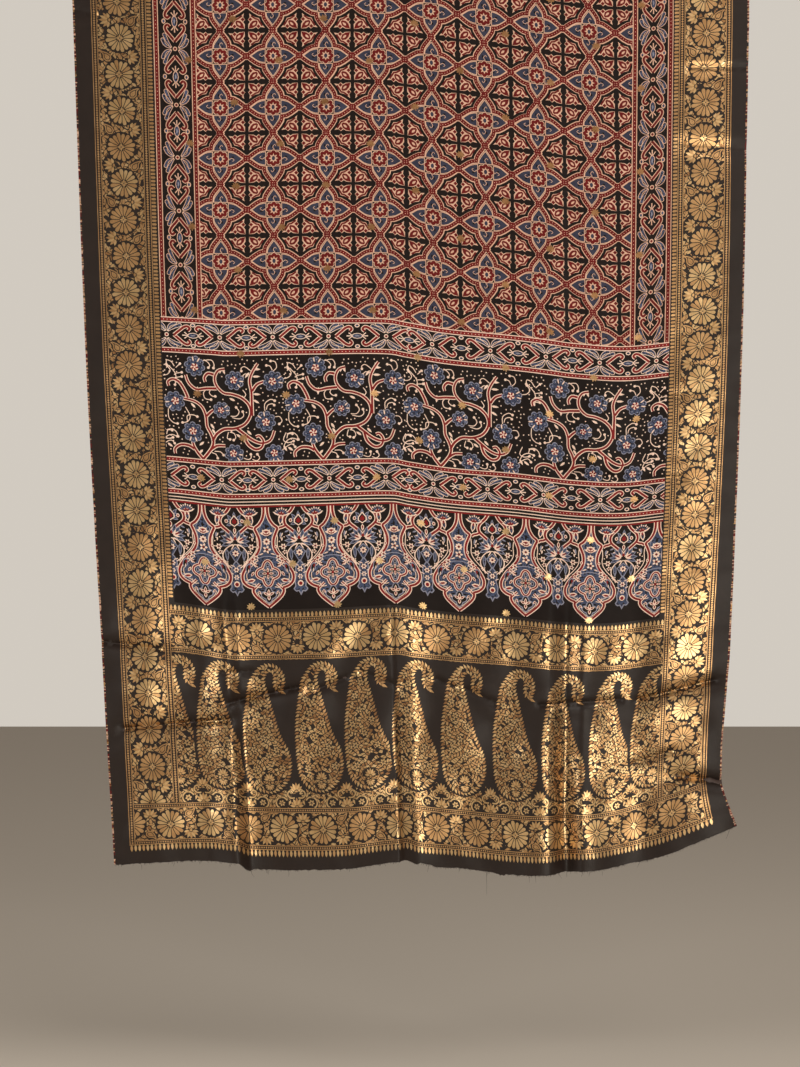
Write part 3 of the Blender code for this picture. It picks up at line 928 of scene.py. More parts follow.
def drawRosettesAcross(middles, yTop, yBottom, left, right, seed):
    middle = (yTop + yBottom) / 2
    radius = min(gold["rosetteRadius"], (yBottom - yTop) / 2 - 0.6)
    filler = [(dye, outline * (0.82, 1.04)) for dye, outline in borderFiller()]

    def clear(x, y):
        return min(math.hypot(x - spot, y - middle) for spot in middles) > radius - 1

    drawn = leafMosaic(left, yTop, right, yBottom, 8.0, 7.4, seed, clear)
    for i, (x, following) in enumerate(zip(middles, middles[1:])):
        drawn += place(filler, (x + following) / 2, middle, 90, mirror=bool(i % 2))
    for i, x in enumerate(middles):
        bloom = [(dye, outline * (gold["lowStretch"], 1)) for dye, outline in rosette(radius, seed + i)]
        drawn += place(bloom, x, middle + (0.8 if i % 2 else -0.8))
    return drawn


# The paisleys: tall hooked drops full of leaves, and the scrolled foot that they stand in.
paisley = {
    "middles": (-367, -303, -235, -157, -83, -11, 65, 147, 224, 301, 368), "foot": 1141.0, "stretch": 1.08,
    "lift": (0, 0, 2, 0, -2, 0, 0, 1, 2, 0, 0),
    "outline": ((0, 0), (-9, 1.2), (-17.5, 5), (-26.5, 15), (-31, 29), (-32.6, 49), (-33, 70), (-32.4, 89), (-31, 105),
                (-28.6, 120), (-26, 136), (-23.6, 150), (-20.6, 161), (-15, 168.5), (-10.4, 176), (-3, 182), (6, 184.6),
                (15.5, 182.6), (23, 177), (27.6, 167), (27.6, 156.5), (24.4, 148), (22, 144), (15, 147), (12.6, 152),
                (12.4, 161), (13.4, 168), (8.6, 173.5), (3, 170.5), (0.4, 162.6), (0.8, 153), (4.2, 140.8),
                (7.8, 124), (11.5, 110), (15, 93), (21, 76), (27.6, 63), (31, 49), (30.8, 33), (26.4, 19), (17, 7.6),
                (8, 2)),
    # the bare silk round it, without the notch under its hook
    "hollow": ((0, 0), (-17.5, 5), (-27.5, 15), (-33.6, 30), (-37, 52), (-37, 90), (-34, 120), (-28, 152), (-17, 176),
               (4, 188), (24, 182), (34, 164), (34, 140), (33, 100), (34.5, 60), (32.5, 34), (26.8, 18), (17, 7)),
    "florets": ((-18, 34), (19, 36), (1, 54), (-19, 62), (-6, 79), (-22, 92), (5, 98), (-12, 112), (-17, 132), (-8, 150),
                (12, 62)),
}


def insideOutline(outline, x, y):
    p, q = outline, np.roll(outline, -1, axis=0)
    crosses = (p[:, 1] > y) != (q[:, 1] > y)
    with np.errstate(divide="ignore", invalid="ignore"):
        at = p[:, 0] + (y - p[:, 1]) / (q[:, 1] - p[:, 1]) * (q[:, 0] - p[:, 0])
    return bool(np.sum(crosses & (x < at)) % 2)


def goldFloret(radius):
    drawn = oval("black", 0, 0, radius + 0.4, sides=8)
    # its petals have a painted highlight
    petal = shape("paintedHighlightGold", [(radius * 0.15, 0), (radius * 0.6, -radius * 0.28), (radius, 0), (radius * 0.6, radius * 0.28)])
    for i in range(6):
        drawn += place(petal, turn=i * 60 + 12)
    return drawn


def leavesAlong(edge, gap, length, width, lean, start=0.5):
    # leaves set along a line, leaning forward by some degrees
    steps = np.linalg.norm(np.diff(edge, axis=0), axis=1)
    along = np.concatenate([[0], np.cumsum(steps)])
    count = int(along[-1] / gap)
    drawn = []
    for i in range(count):
        at = (i + start) * along[-1] / count
        x, y = np.interp(at, along, edge[:, 0]), np.interp(at, along, edge[:, 1])
        ahead = at + 0.8
        x2, y2 = np.interp(ahead, along, edge[:, 0]), np.interp(ahead, along, edge[:, 1])
        turn = math.degrees(math.atan2(y2 - y, x2 - x)) + (lean if i % 2 else lean * 1.25)
        drawn += inkedLeaf(x, y, length, width, turn)
    return drawn


def paisleyUnit(seed):
    # y up from the foot here; turned over when placed
    outline = outlineArray(curve(paisley["outline"], 2, closed=True))
    core = grown(outline, -3.2)
    drawn = leafMosaic(-36, 0, 34, 188, 6.6, 6.0, seed, lambda x, y: insideOutline(core, x, y))
    edge = grown(outline, -1.5)
    drawn += leavesAlong(np.concatenate([edge, edge[:1]]), 5.0, 7.4, 3.7, -50)
    for x, y in paisley["florets"]:
        drawn += place(goldFloret(5.0), x, y)
    # the palmette and scrolls in its foot
    ring = curve([(3.5, 12), (9, 12.5), (12, 17.5), (9.5, 23), (5.5, 21.5), (6.5, 18)], 2)
    drawn += halves(stroke("black", ring, 3.0) + stroke("gold", ring, 1.7))
    drawn += place(underFan(11) + palmette(11), 0, 18, 90) + place(underFan(9) + palmette(9), 0, 12, -90)
    return drawn + inkedLeaf(24.6, 143.2, 10, 4.2, -28)


def footScrolls():
    # between two paisleys, about the middle line, y down from the paisleys' foot
    ring = curve([(12, 22.5), (20, 23.5), (27, 20), (28.5, 13.5), (24.5, 8), (17.5, 7.4), (13, 11.5)], 2)
    small = curve([(2.5, 8), (8, 8.4), (12, 4.6), (11, -0.6), (7, -1.6), (5.4, 1.6)], 2)
    drawn = halves(oval("black", 20.5, 15.4, 10.2, sides=10)) + oval("black", 0, 12, 9, 11, 10)
    drawn += place(underFan(13) + palmette(13), 0, -1, -90) + place(underFan(13.5) + palmette(13.5), 0, 21, -90)
    # the two scroll rings have a painted highlight
    drawn += halves(stroke("black", ring, 3.6) + stroke("paintedHighlightGold", ring, 2.1))
    drawn += halves(stroke("black", small, 3.2) + stroke("paintedHighlightGold", small, 1.9))
    drawn += halves(place(goldFloret(4.8), 20.5, 15.4))
    drawn += halves(oval("gold", 31.5, 7.6, 1.7, sides=6) + inkedLeaf(24, 5.4, 8.5, 3.4, -28)
                    + inkedLeaf(15, 4.6, 7.5, 3.0, -60) + inkedLeaf(30.5, 13, 7, 3.2, 60) + inkedLeaf(9.8, 15, 8, 3.4, 70)
                    + inkedLeaf(31, 20, 7, 3.2, 100) + inkedLeaf(20.5, 25.4, 8, 3.0, 4))
    return drawn


def drawPaisleys():
    stretch = paisley["stretch"]
    scrolls = [(dye, outline * (stretch, 1)) for dye, outline in footScrolls()]
    foot, middles = paisley["foot"], paisley["middles"]
    drawn = leafMosaic(layout["ticksLeft"], foot - 8, layout["ticksRight"], layout["lowerBorder"], 6.4, 5.8, 61)
    hollow = curve(paisley["hollow"], 2, closed=True) * (stretch, -1)
    for x, lift in zip(middles, paisley["lift"]):
        drawn += [("black", grown(hollow, 3.6) + (x, foot + lift))]
    for x, following in zip(middles, middles[1:]):
        drawn += place(scrolls, (x + following) / 2, foot)
    for i, x in enumerate(middles):
        unit = [(dye, outline * (stretch, -1)) for dye, outline in paisleyUnit(30 + i)]
        drawn += place([("black", grown(hollow, 0.6))] + unit, x, foot + paisley["lift"][i])
    return drawn


# Small gold flowers woven all over the print.
butti = {"acrossPitch": 127.4, "downPitch": 58.2, "firstAcross": -249, "firstDown": 63.8}


def buttiFlower():
    drawn = []
    for turn in (180, 216, 252, 288, 324, 360):
        drawn += place(leafShape("gold", 0.6, 0, 6.2, 2.6), 0, 0.6, turn)
    for turn in (35, 90, 145):
        drawn += place(leafShape("gold", 0.8, 0, 4.6, 2.2), 0, 0.6, turn)
    return drawn + oval("gold", 0, 0.4, 1.2, sides=6)


def drawButtis(top, bottom, left, right):
    drawn = []
    for row in range(-2, 16):
        y = butti["firstDown"] + row * butti["downPitch"]
        for column in range(-2, 7):
            x = butti["firstAcross"] + (column + 0.5 * (row % 2)) * butti["acrossPitch"]
            if top - 8 < y < bottom + 8 and left - 8 < x < right + 8:
                # painted shade on the buttis above a slanting line, plain gold down to the lamps, a painted highlight
                # below them
                dye = "darkGold" if y < layout["tripleTwo"] - x * 0.2 else ("gold" if y < layout["lampTop"] else "paintedHighlightGold")
                flower = [(dye, outline) for _, outline in buttiFlower()]
                drawn += place(flower, x, y, (row * 37 + column * 53) % 30 - 15)
    return drawn


# Dyes and threads. Each is its own material, with the weave's ribs in its bump.
dyes = {
    "black": {"colour": (0.0135, 0.0080, 0.0062), "vary": (0.0085, 0.0050, 0.0040), "roughness": 0.55},
    "madder": {"colour": (0.200, 0.0110, 0.0105), "vary": (0.110, 0.0062, 0.0062), "roughness": 0.6},
    "cream": {"colour": (0.82, 0.55, 0.41), "vary": (0.61, 0.37, 0.265), "roughness": 0.6},
    "indigo": {"colour": (0.062, 0.066, 0.105), "vary": (0.028, 0.030, 0.054), "roughness": 0.6},
    "paleCream": {"colour": (0.98, 0.78, 0.66), "vary": (0.80, 0.58, 0.47), "roughness": 0.6},
    "red": {"colour": (0.30, 0.0175, 0.0165), "vary": (0.175, 0.0105, 0.0105), "roughness": 0.6},
    "silk": {"colour": (0.0205, 0.0110, 0.0076), "vary": (0.0132, 0.0071, 0.0049), "roughness": 0.46},
    "blue": {"colour": (0.098, 0.126, 0.225), "vary": (0.043, 0.056, 0.106), "roughness": 0.6},
    "skyBlue": {"colour": (0.33, 0.33, 0.41), "vary": (0.21, 0.21, 0.28), "roughness": 0.6},
    "gold": {"colour": (0.84, 0.54, 0.260), "vary": (0.45, 0.250, 0.105), "roughness": 0.36},
    # two copies of the gold thread: one with a painted highlight in its colour, one with painted shade
    "paintedHighlightGold": {"colour": (0.96, 0.70, 0.38), "vary": (0.62, 0.40, 0.180), "roughness": 0.32},
    "darkGold": {"colour": (0.52, 0.285, 0.125), "vary": (0.29, 0.145, 0.060), "roughness": 0.42},
}
dyeOrder = list(dyes)


def nodeTools(material):
    tree = material.node_tree
    made = {}

    def add(kind, **values):
        node = tree.nodes.new(kind)
        node.location = (-220 * (len(made) + 1), 0)
        made[node.name] = node
        for key, value in values.items():
            if key in node.inputs.keys():
                node.inputs[key].default_value = value
            else:
                setattr(node, key, value)
        return node

    def socket(sockets, key):
        # several sockets of a node may share a name; the one in use is enabled
        if isinstance(key, int):
            return sockets[key]
        return next(item for item in sockets if item.name == key and item.enabled)

    def link(fromNode, fromSocket, toNode, toSocket):
        tree.links.new(socket(fromNode.outputs, fromSocket), socket(toNode.inputs, toSocket))

    return add, link


def dyeMaterial(name):
    look = dyes[name]
    metal = "gold" in name.lower()
    material = bpy.data.materials.new(name + ("Thread" if metal else "Dye"))
    material.use_nodes = True
    shader = material.node_tree.nodes["Principled BSDF"]
    add, link = nodeTools(material)
    flat = add("ShaderNodeUVMap", uv_map="flatCloth")
    # blotches where the dye took unevenly, and flecks from single threads; on the gold threads the same blotches are
    # painted glints and painted shade
    blotch = add("ShaderNodeTexNoise", Scale=45.0, Detail=3.0, Roughness=0.6)
    thread = add("ShaderNodeMapping", Scale=(900.0, 1700.0, 1.0))
    fleck = add("ShaderNodeTexNoise", Scale=1.0, Detail=1.0)
    mixFactor = add("ShaderNodeMath", operation="MULTIPLY_ADD")
    mixFactor.inputs[1].default_value = 0.55
    ramp = add("ShaderNodeValToRGB")
    ramp.color_ramp.elements[0].position, ramp.color_ramp.elements[1].position = 0.42, 0.78
    ramp.color_ramp.elements[0].color = (*look["vary"], 1)
    ramp.color_ramp.elements[1].color = (*look["colour"], 1)
    halfFleck = add("ShaderNodeMath", operation="MULTIPLY")
    halfFleck.inputs[1].default_value = 0.5
    link(flat, "UV", blotch, "Vector")
    link(flat, "UV", thread, "Vector")
    link(thread, "Vector", fleck, "Vector")
    link(fleck, "Fac", halfFleck, 0)
    link(blotch, "Fac", mixFactor, 0)
    link(halfFleck, "Value", mixFactor, 2)
    link(mixFactor, "Value", ramp, "Fac")
    if name == "blue":
        # the blue is stamped over black, which shows through in specks
        speck = add("ShaderNodeTexNoise", Scale=330.0, Detail=1.0)
        limit = add("ShaderNodeMapRange")
        limit.inputs["From Min"].default_value, limit.inputs["From Max"].default_value = 0.53, 0.60
        blend = add("ShaderNodeMix", data_type="RGBA")
        next(item for item in blend.inputs if item.name == "B" and item.enabled).default_value = (*dyes["black"]["colour"], 1)
        link(flat, "UV", speck, "Vector")
        link(speck, "Fac", limit, "Value")
        link(limit, "Result", blend, "Factor")
        link(ramp, "Color", blend, "A")
        link(blend, "Result", shader, "Base Color")
    else:
        link(ramp, "Color", shader, "Base Color")
    # fine ribs of the weave, and threads of metal that lie unevenly
    ribs = add("ShaderNodeTexWave", wave_type="BANDS", bands_direction="Y", Scale=220.0, Distortion=1.2, Detail=1.0)
    low = add("ShaderNodeMath", operation="MULTIPLY")
    low.inputs[1].default_value = 0.05 if metal else 0.12
    crinkle = add("ShaderNodeTexNoise", Scale=250.0 if metal else 90.0, Detail=2.0)
    height = add("ShaderNodeMath", operation="ADD")
    bump = add("ShaderNodeBump", Strength=0.6 if metal else 0.3, Distance=0.0006)
    link(flat, "UV", ribs, "Vector")
    link(ribs, "Fac", low, 0)
    link(flat, "UV", crinkle, "Vector")
    link(low, "Value", height, 0)
    link(crinkle, "Fac", height, 1)
    link(height, "Value", bump, "Height")
    link(bump, "Normal", shader, "Normal")
    shader.inputs["Roughness"].default_value = look["roughness"]
    shader.inputs["Metallic"].default_value = 0.86 if metal else 0.0
    shader.inputs["Specular IOR Level"].default_value = {"gold": 0.5, "silk": 0.34}.get("gold" if metal else name, 0.15)
    return material


def silkBackMaterial():
    material = bpy.data.materials.new("silkBack")
    material.use_nodes = True
    shader = material.node_tree.nodes["Principled BSDF"]
    add, link = nodeTools(material)
    flat = add("ShaderNodeUVMap", uv_map="flatCloth")
    noise = add("ShaderNodeTexNoise", Scale=38.0, Detail=5.0)
    ramp = add("ShaderNodeValToRGB")
    ramp.color_ramp.elements[0].color = (0.030, 0.019, 0.017, 1)
    ramp.color_ramp.elements[1].color = (0.075, 0.042, 0.034, 1)
    ribs = add("ShaderNodeTexWave", wave_type="BANDS", bands_direction="Y", Scale=220.0, Distortion=1.5)
    bump = add("ShaderNodeBump", Strength=0.2, Distance=0.0004)
    link(flat, "UV", noise, "Vector")
    link(noise, "Fac", ramp, "Fac")
    link(ramp, "Color", shader, "Base Color")
    link(flat, "UV", ribs, "Vector")
    link(ribs, "Fac", bump, "Height")
    link(bump, "Normal", shader, "Normal")
    shader.inputs["Roughness"].default_value = 0.6
    shader.inputs["Sheen Weight"].default_value = 0.2
    return material


materials = {name: dyeMaterial(name) for name in dyes}
materials["back"] = silkBackMaterial()
print("materials: made", len(materials))


def meshPiece(name, points, faces, normals, flatPoints, slots, faceSlots):
    mesh = bpy.data.meshes.new(name)
    mesh.from_pydata(points.tolist(), [], faces)
    for slotName in slots:
        mesh.materials.append(materials[slotName])
    mesh.polygons.foreach_set("material_index", faceSlots)
    mesh.shade_smooth()
    loopVerts = np.empty(len(mesh.loops), dtype=np.int32)
    mesh.loops.foreach_get("vertex_index", loopVerts)
    flat = mesh.uv_layers.new(name="flatCloth")
    flat.data.foreach_set("uv", (flatPoints * mm)[loopVerts].ravel())
    low, high = flatPoints.min(axis=0), flatPoints.max(axis=0)
    spread = 0.004 + 0.992 * (flatPoints - low) / (high - low)
    bake = mesh.uv_layers.new(name="OFBake")
    bake.data.foreach_set("uv", spread[loopVerts].ravel())
    mesh.normals_split_custom_set_from_vertices(normals.tolist())
    print(name, "triangles", sum(len(face) - 2 for face in faces))
    piece = bpy.data.objects.new(name, mesh)
    bpy.context.scene.collection.objects.link(piece)
    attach(piece, "root")
    return piece


def withSteps(outline, step=8.0):
    # an outline whose long edges are cut into steps, so that they follow the folds
    ahead = np.roll(outline, -1, axis=0) - outline
    lengths = np.hypot(ahead[:, 0], ahead[:, 1])
    if lengths.max() <= step * 1.4:
        return outline
    points = []
    for point, run, length in zip(outline, ahead, lengths):
        count = max(int(math.ceil(length / step)), 1)
        points += [point + run * i / count for i in range(count)]
    return np.array(points)


def gridPlaces(low, high, step, finer=2, slack=0.36):
    # a grid of points, closer together wherever the cloth bends
    places = []
    span = step
    for level in range(finer + 1):
        xs = np.arange(low[0] + span / 2, high[0], span)
        ys = np.arange(low[1] + span / 2, high[1], span)
        x, y = (part.ravel() for part in np.meshgrid(xs, ys))
        if level:
            here = hang(x, y)
            bendX = (hang(x + span, y) + hang(x - span, y)) / 2 - here
            bendY = (hang(x, y + span) + hang(x, y - span)) / 2 - here
            keep = np.maximum(np.abs(bendX[:, 1]), np.abs(bendY[:, 1])) > slack * mm
            x, y = x[keep], y[keep]
        places.append(np.stack([x, y], axis=1))
        span /= 2
    return np.concatenate(places)


def hungFace(name, outline, drawing, gridStep, ground="black"):
    # the face of one part of the cloth: its pattern cut into faces, then hung
    outline = outlineArray(withSteps(np.asarray(outline, dtype=float)))
    low, high = outline.min(axis=0), outline.max(axis=0)
    shapes, faceDyes = [outline], [dyeOrder.index(ground)]
    for dye, points in drawing:
        if (points.max(axis=0) > low).all() and (points.min(axis=0) < high).all():
            shapes.append(outlineArray(withSteps(points)))
            faceDyes.append(dyeOrder.index(ground if dye == "black" else dye))
    ends = np.cumsum([len(points) for points in shapes])
    faces = [list(range(end - len(points), end)) for points, end in zip(shapes, ends)]
    coordinates = np.concatenate(shapes + [gridPlaces(low, high, gridStep)])
    cut = delaunay_2d_cdt([tuple(p) for p in coordinates.tolist()], [], faces, 0, 0.01)
    flat = np.array([tuple(p) for p in cut[0]])
    triangles = np.array(cut[2])
    a, b, c = (flat[triangles[:, k]] for k in range(3))
    sizes = np.abs((b[:, 0] - a[:, 0]) * (c[:, 1] - a[:, 1]) - (b[:, 1] - a[:, 1]) * (c[:, 0] - a[:, 0])) / 2
    # a shape that crosses itself would fill everything; such a one is left out
    counts = [len(sources) for sources in cut[5]]
    filled = np.bincount(np.concatenate([sources for sources in cut[5] if sources]).astype(int),
                         np.repeat(sizes, counts), len(shapes))
    own = np.array([0.5 * np.sum(p[:, 0] * np.roll(p[:, 1], -1) - p[:, 1] * np.roll(p[:, 0], -1)) for p in shapes])
    sound = (filled < own * 1.3 + 1.5).tolist()
    print(name, "shapes left out", sound.count(False))
    kept, keptDyes = [], []
    for face, sources in zip(cut[2], cut[5]):
        if 0 in sources:
            kept.append(tuple(face[::-1]))
            keptDyes.append(faceDyes[max(source for source in sources if sound[source])])
    used = np.unique(np.array(kept))
    renumber = np.full(len(flat), -1)
    renumber[used] = np.arange(len(used))
    faces = renumber[np.array(kept)].tolist()
    flat = flat[used]
    normals = hangNormals(flat[:, 0], flat[:, 1])
    points = hang(flat[:, 0], flat[:, 1]) + normals * hanging["thickness"] / 2 * mm
    return meshPiece(name, points, faces, normals, flat, dyeOrder, keptDyes)


def levelTop(left, right, step=12):
    # the top edge's points, from right to left
    count = max(int((right - left) / step), 1)
    xs = np.linspace(right, left, count + 1)
    return list(zip(xs, topOfWeave(xs)))


def box(left, top, right, bottom):
    return [(left, top), (right, top), (right, bottom), (left, bottom)]


def sideLines(x, top, bottom):
    return tripleLine(straight(x, top, x, bottom))


def makePrintField():
    left, right = layout["printLeft"], layout["printRight"]
    bottom, half = layout["tripleOne"], layout["fieldHalf"]
    drawn = drawField()
    drawn += [("black", np.array(box(left - 9, -70, layout["fieldLeft"], bottom + 9))),
              ("black", np.array(box(layout["fieldRight"], -70, right + 9, bottom + 9)))]
    drawn += drawScroll(scroll["downLeft"], layout["scrollLeft"]) + drawScroll(scroll["downRight"], layout["scrollRight"])
    for x in (left + 4.4, layout["fieldLeft"], layout["fieldRight"], right - 3.6):
        drawn += sideLines(x, -70, bottom + 6)
    drawn += tripleLine(straight(left - 4, bottom + 3.6, right + 4, bottom + 3.6))
    drawn += drawButtis(-60, bottom, left, right)
    upper = levelTop(left, right) + [(left, half), (right, half)]
    return [hungFace("printFieldUpper", upper, drawn, 14),
            hungFace("printFieldLower", box(left, half, right, bottom), drawn, 14)]


def makePrintBands():
    left, right = layout["printLeft"], layout["printRight"]
    one, two, three, four = (layout[key] for key in ("tripleOne", "tripleTwo", "tripleThree", "tripleFour"))
    drawn = drawVine()
    drawn += [("black", np.array(box(left - 9, one, right + 9, two)))]
    drawn += [("black", np.array(box(left - 9, three, right + 9, layout["lampTop"] + 150)))]
    drawn += brighter(drawScroll(scroll["across"], (one + two) / 2 + 1.6, True, 0.95))
    drawn += brighter(drawScroll(scroll["acrossLow"], (three + four) / 2, True, 0.92))
    drawn += drawLamps()
    for y in (one + 3.6, two, three, four):
        drawn += brighter(tripleLine(straight(left - 4, y, right + 4, y)))
    drawn += drawButtis(one, layout["goldBand"] - 12, left, right)
    return [hungFace("vineBand", box(left, one, right, four), drawn, 12),
            hungFace("lampBand", box(left, four, right, layout["goldBand"]), drawn, 12)]


def makeGoldSide(name, mirrored):
    # one long gold border, its plain edge and its row of ticks
    keys = ("rightEdge", "blackRight", "outerGuardRight", "innerGuardRight", "ticksRight", "printRight")
    if not mirrored:
        keys = ("leftEdge", "blackLeft", "outerGuardLeft", "innerGuardLeft", "ticksLeft", "printLeft")
    edge, plain, outer, inner, ticks, printed = (layout[key] for key in keys)
    sign = 1 if printed > edge else -1
    bottom, band = layout["lowerBorder"], layout["goldBand"]
    low, high = sorted((outer, inner))
    first, pitch = (gold["rightFirst"], gold["rightPitch"]) if mirrored else (gold["leftFirst"], gold["leftPitch"])
    drawn = drawRosettesDown(low, high, first, pitch, bottom, 50 if mirrored else 20)
    drawn += [("black", np.array(box(*((plain, -70, edge + 9, bottom + 9) if mirrored else (edge - 9, -70, plain, bottom + 9)))))]
    drawn += guardLine(straight((plain + outer) / 2, layout["top"], (plain + outer) / 2, bottom), abs(outer - plain))
    drawn += guardLine(straight((inner + ticks) / 2, layout["top"], (inner + ticks) / 2, bottom), abs(ticks - inner))
    drawn += [("black", np.array(box(*sorted((ticks, printed + sign * 9))[:1], -70,
                                     sorted((ticks, printed + sign * 9))[1], bottom + 9)))]
    y = layout["top"]
    while y < band - 4:
        near, far = ticks + sign * 0.4, printed - sign * 1.2
        drawn += shape("gold", [(near, y - 1.5), (far - sign * 1.5, y - 1.7), (far, y), (far - sign * 1.5, y + 1.7),
                                (near, y + 1.5)])
        y += 5.05
    drawn += speckledSelvedge(edge, sign)
    top = levelTop(min(edge, printed), max(edge, printed))
    outline = top + ([(edge, bottom), (ticks, bottom), (ticks, band), (printed, band)] if not mirrored else
                     [(printed, band), (ticks, band), (ticks, bottom), (edge, bottom)])
    return hungFace(name, outline, drawn, 12, "silk")


def speckledSelvedge(edge, sign):
    # the woven edge: a line of cream, gold and red picks
    rnd = random.Random(int(abs(edge)))
    drawn = []
    y = layout["top"]
    while y < layout["hem"]:
        dye = rnd.choice(("cream", "gold", "madder", "madder", "cream", "black"))
        reach = rnd.uniform(1.8, 2.8)
        drawn += shape(dye, [(edge - sign, y), (edge + sign * reach, y), (edge + sign * reach, y + 1.2), (edge - sign, y + 1.2)])
        y += rnd.uniform(1.3, 2.0)
    return drawn


def makePaisleyEnd():
    left, right = layout["ticksLeft"], layout["ticksRight"]
    top, bandEnd, bottom = layout["goldBand"], layout["goldBandEnd"], layout["lowerBorder"]
    band = drawRosettesAcross(gold["crossMiddles"], top + 17, bandEnd - 7.5, left - 4, right + 4, 700)
    band += [("black", np.array(box(left - 9, top - 9, right + 9, top + 10)))]
    band += guardLine(straight(left - 3, top + 13.5, right + 3, top + 13.5), 7)
    band += guardLine(straight(left - 3, bandEnd - 3.8, right + 3, bandEnd - 3.8), 7)
    band += teeth(left, right, top + 10.5, True, 7.4)
    return [hungFace("crossBorder", box(left, top, right, bandEnd), band, 12, "silk"),
            hungFace("paisleyPanel", box(left, bandEnd, right, bottom), drawPaisleys(), 12, "silk")]


hemCut = {"waver": 0.8, "step": 3.0, "nicks": ((-274, 3.2, 5), (-8, -4.5, 5), (3, -3.0, 6), (120, 2.5, 8), (330, -1.8, 9))}


def hemLine(step):
    # the cut lower edge, from left to right: it wavers and has a few nicks
    rnd = random.Random(91)
    points = []
    x = layout["leftEdge"]
    while x < layout["rightEdge"]:
        y = layout["hem"] + rnd.uniform(-hemCut["waver"], hemCut["waver"])
        for at, deep, wide in hemCut["nicks"]:
            y += deep * math.exp(-((x - at) / wide) ** 2)
        points.append((x, y))
        x += step
    points.append((layout["rightEdge"], layout["hem"]))
    return points


def makeLowerBorder():
    left, right = layout["leftEdge"], layout["rightEdge"]
    top = layout["lowerBorder"]
    goldLeft, goldRight = layout["blackLeft"], layout["blackRight"]
    drawn = []
    drawn += drawRosettesAcross(gold["lowMiddles"], top + 8.2, top + 51.8, goldLeft, goldRight, 900)
    drawn += [("black", np.array(box(left - 9, top - 9, goldLeft, layout["hem"] + 20))),
              ("black", np.array(box(goldRight, top - 9, right + 9, layout["hem"] + 20))),
              ("black", np.array(box(left - 9, top + 58, right + 9, layout["hem"] + 20)))]
    for y in (top + 4.2, top + 55.3):
        drawn += guardLine(straight(goldLeft, y, goldRight, y), 7)
    drawn += teeth(goldLeft, goldRight, top + 58.6, False)
    drawn += guardLine(straight((goldLeft + layout["outerGuardLeft"]) / 2, top, (goldLeft + layout["outerGuardLeft"]) / 2,
                                top + 57), 9)
    drawn += guardLine(straight((goldRight + layout["outerGuardRight"]) / 2, top,
                                (goldRight + layout["outerGuardRight"]) / 2, top + 57), 9)
    drawn += speckledSelvedge(left, 1) + speckledSelvedge(right, -1)
    outline = [(right, top), (left, top)] + hemLine(hemCut["step"])
    return hungFace("lowerBorder", outline, drawn, 12, "silk")


def makeBack():
    # the back of the sheet and its four edges, closed against the patterned faces
    left, right, hemDown = layout["leftEdge"], layout["rightEdge"], layout["hem"]
    ridges = np.array([row[0] for row in hanging["folds"].values()])
    xs = [left]
    while xs[-1] < right:
        xs.append(xs[-1] + (5.0 if np.abs(ridges - xs[-1]).min() < 13 else 13))
    xs = np.array(xs) * (right - left) / (xs[-1] - left) + left - left * (right - left) / (xs[-1] - left)
    creaseDowns = []
    for x1, y1, x2, y2, _, _ in hanging["fineCreases"].values():
        across, downs = np.array([x1, x2], dtype=float), np.array([y1, y2], dtype=float)
        flatDown, top = downs - readTable(hanging["sags"], across, downs), topOfWeave(across)
        creaseDowns.append((flatDown - top) / (hemDown - top) * hemDown)
    downs = [0.0]
    while downs[-1] < hemDown:
        creased = any(min(span) - 11 < downs[-1] < max(span) + 9 for span in creaseDowns)
        downs.append(downs[-1] + (3.6 if creased else 13))
    downs = np.array(downs) / downs[-1]
    rows = len(downs) - 1
    grid = np.zeros((rows + 1, len(xs), 2))
    tops = topOfWeave(xs)
    hem = np.array(hemLine(hemCut["step"]))
    ends = np.interp(xs, hem[:, 0], hem[:, 1])
    for i in range(rows + 1):
        grid[i, :, 0] = xs
        grid[i, :, 1] = tops + (ends - tops) * downs[i]
    flat = grid.reshape(-1, 2)
    normals = hangNormals(flat[:, 0], flat[:, 1])
    middle = hang(flat[:, 0], flat[:, 1])
    half = hanging["thickness"] / 2 * mm
    wide = len(xs)
    faces = [(i * wide + j, i * wide + j + 1, (i + 1) * wide + j + 1, (i + 1) * wide + j)
             for i in range(rows) for j in range(wide - 1)]
    rim = ([(i, 0) for i in range(rows + 1)] + [(rows, j) for j in range(1, wide)]
           + [(i, wide - 1) for i in range(rows - 1, -1, -1)] + [(0, j) for j in range(wide - 2, 0, -1)])
    rimIndex = [i * wide + j for i, j in rim]
    first = len(flat)
    for k in range(len(rim)):
        following = (k + 1) % len(rim)
        faces.append((rimIndex[k], rimIndex[following], first + following, first + k))
    points = np.concatenate([middle - normals * hanging["backSetOff"] * mm, (middle + normals * half)[rimIndex]])
    outward = np.zeros((len(rim), 3))
    for k, (i, j) in enumerate(rim):
        outward[k] = ((j == wide - 1) * 1.0 - (j == 0) * 1.0, -0.3, (i == 0) * 1.0 - (i == rows) * 1.0)
    normals = np.concatenate([-normals, outward / np.linalg.norm(outward, axis=1, keepdims=True)])
    flat = np.concatenate([flat, flat[rimIndex]])
    return meshPiece("clothBack", points, faces, normals, flat, ["back"], [0] * len(faces))


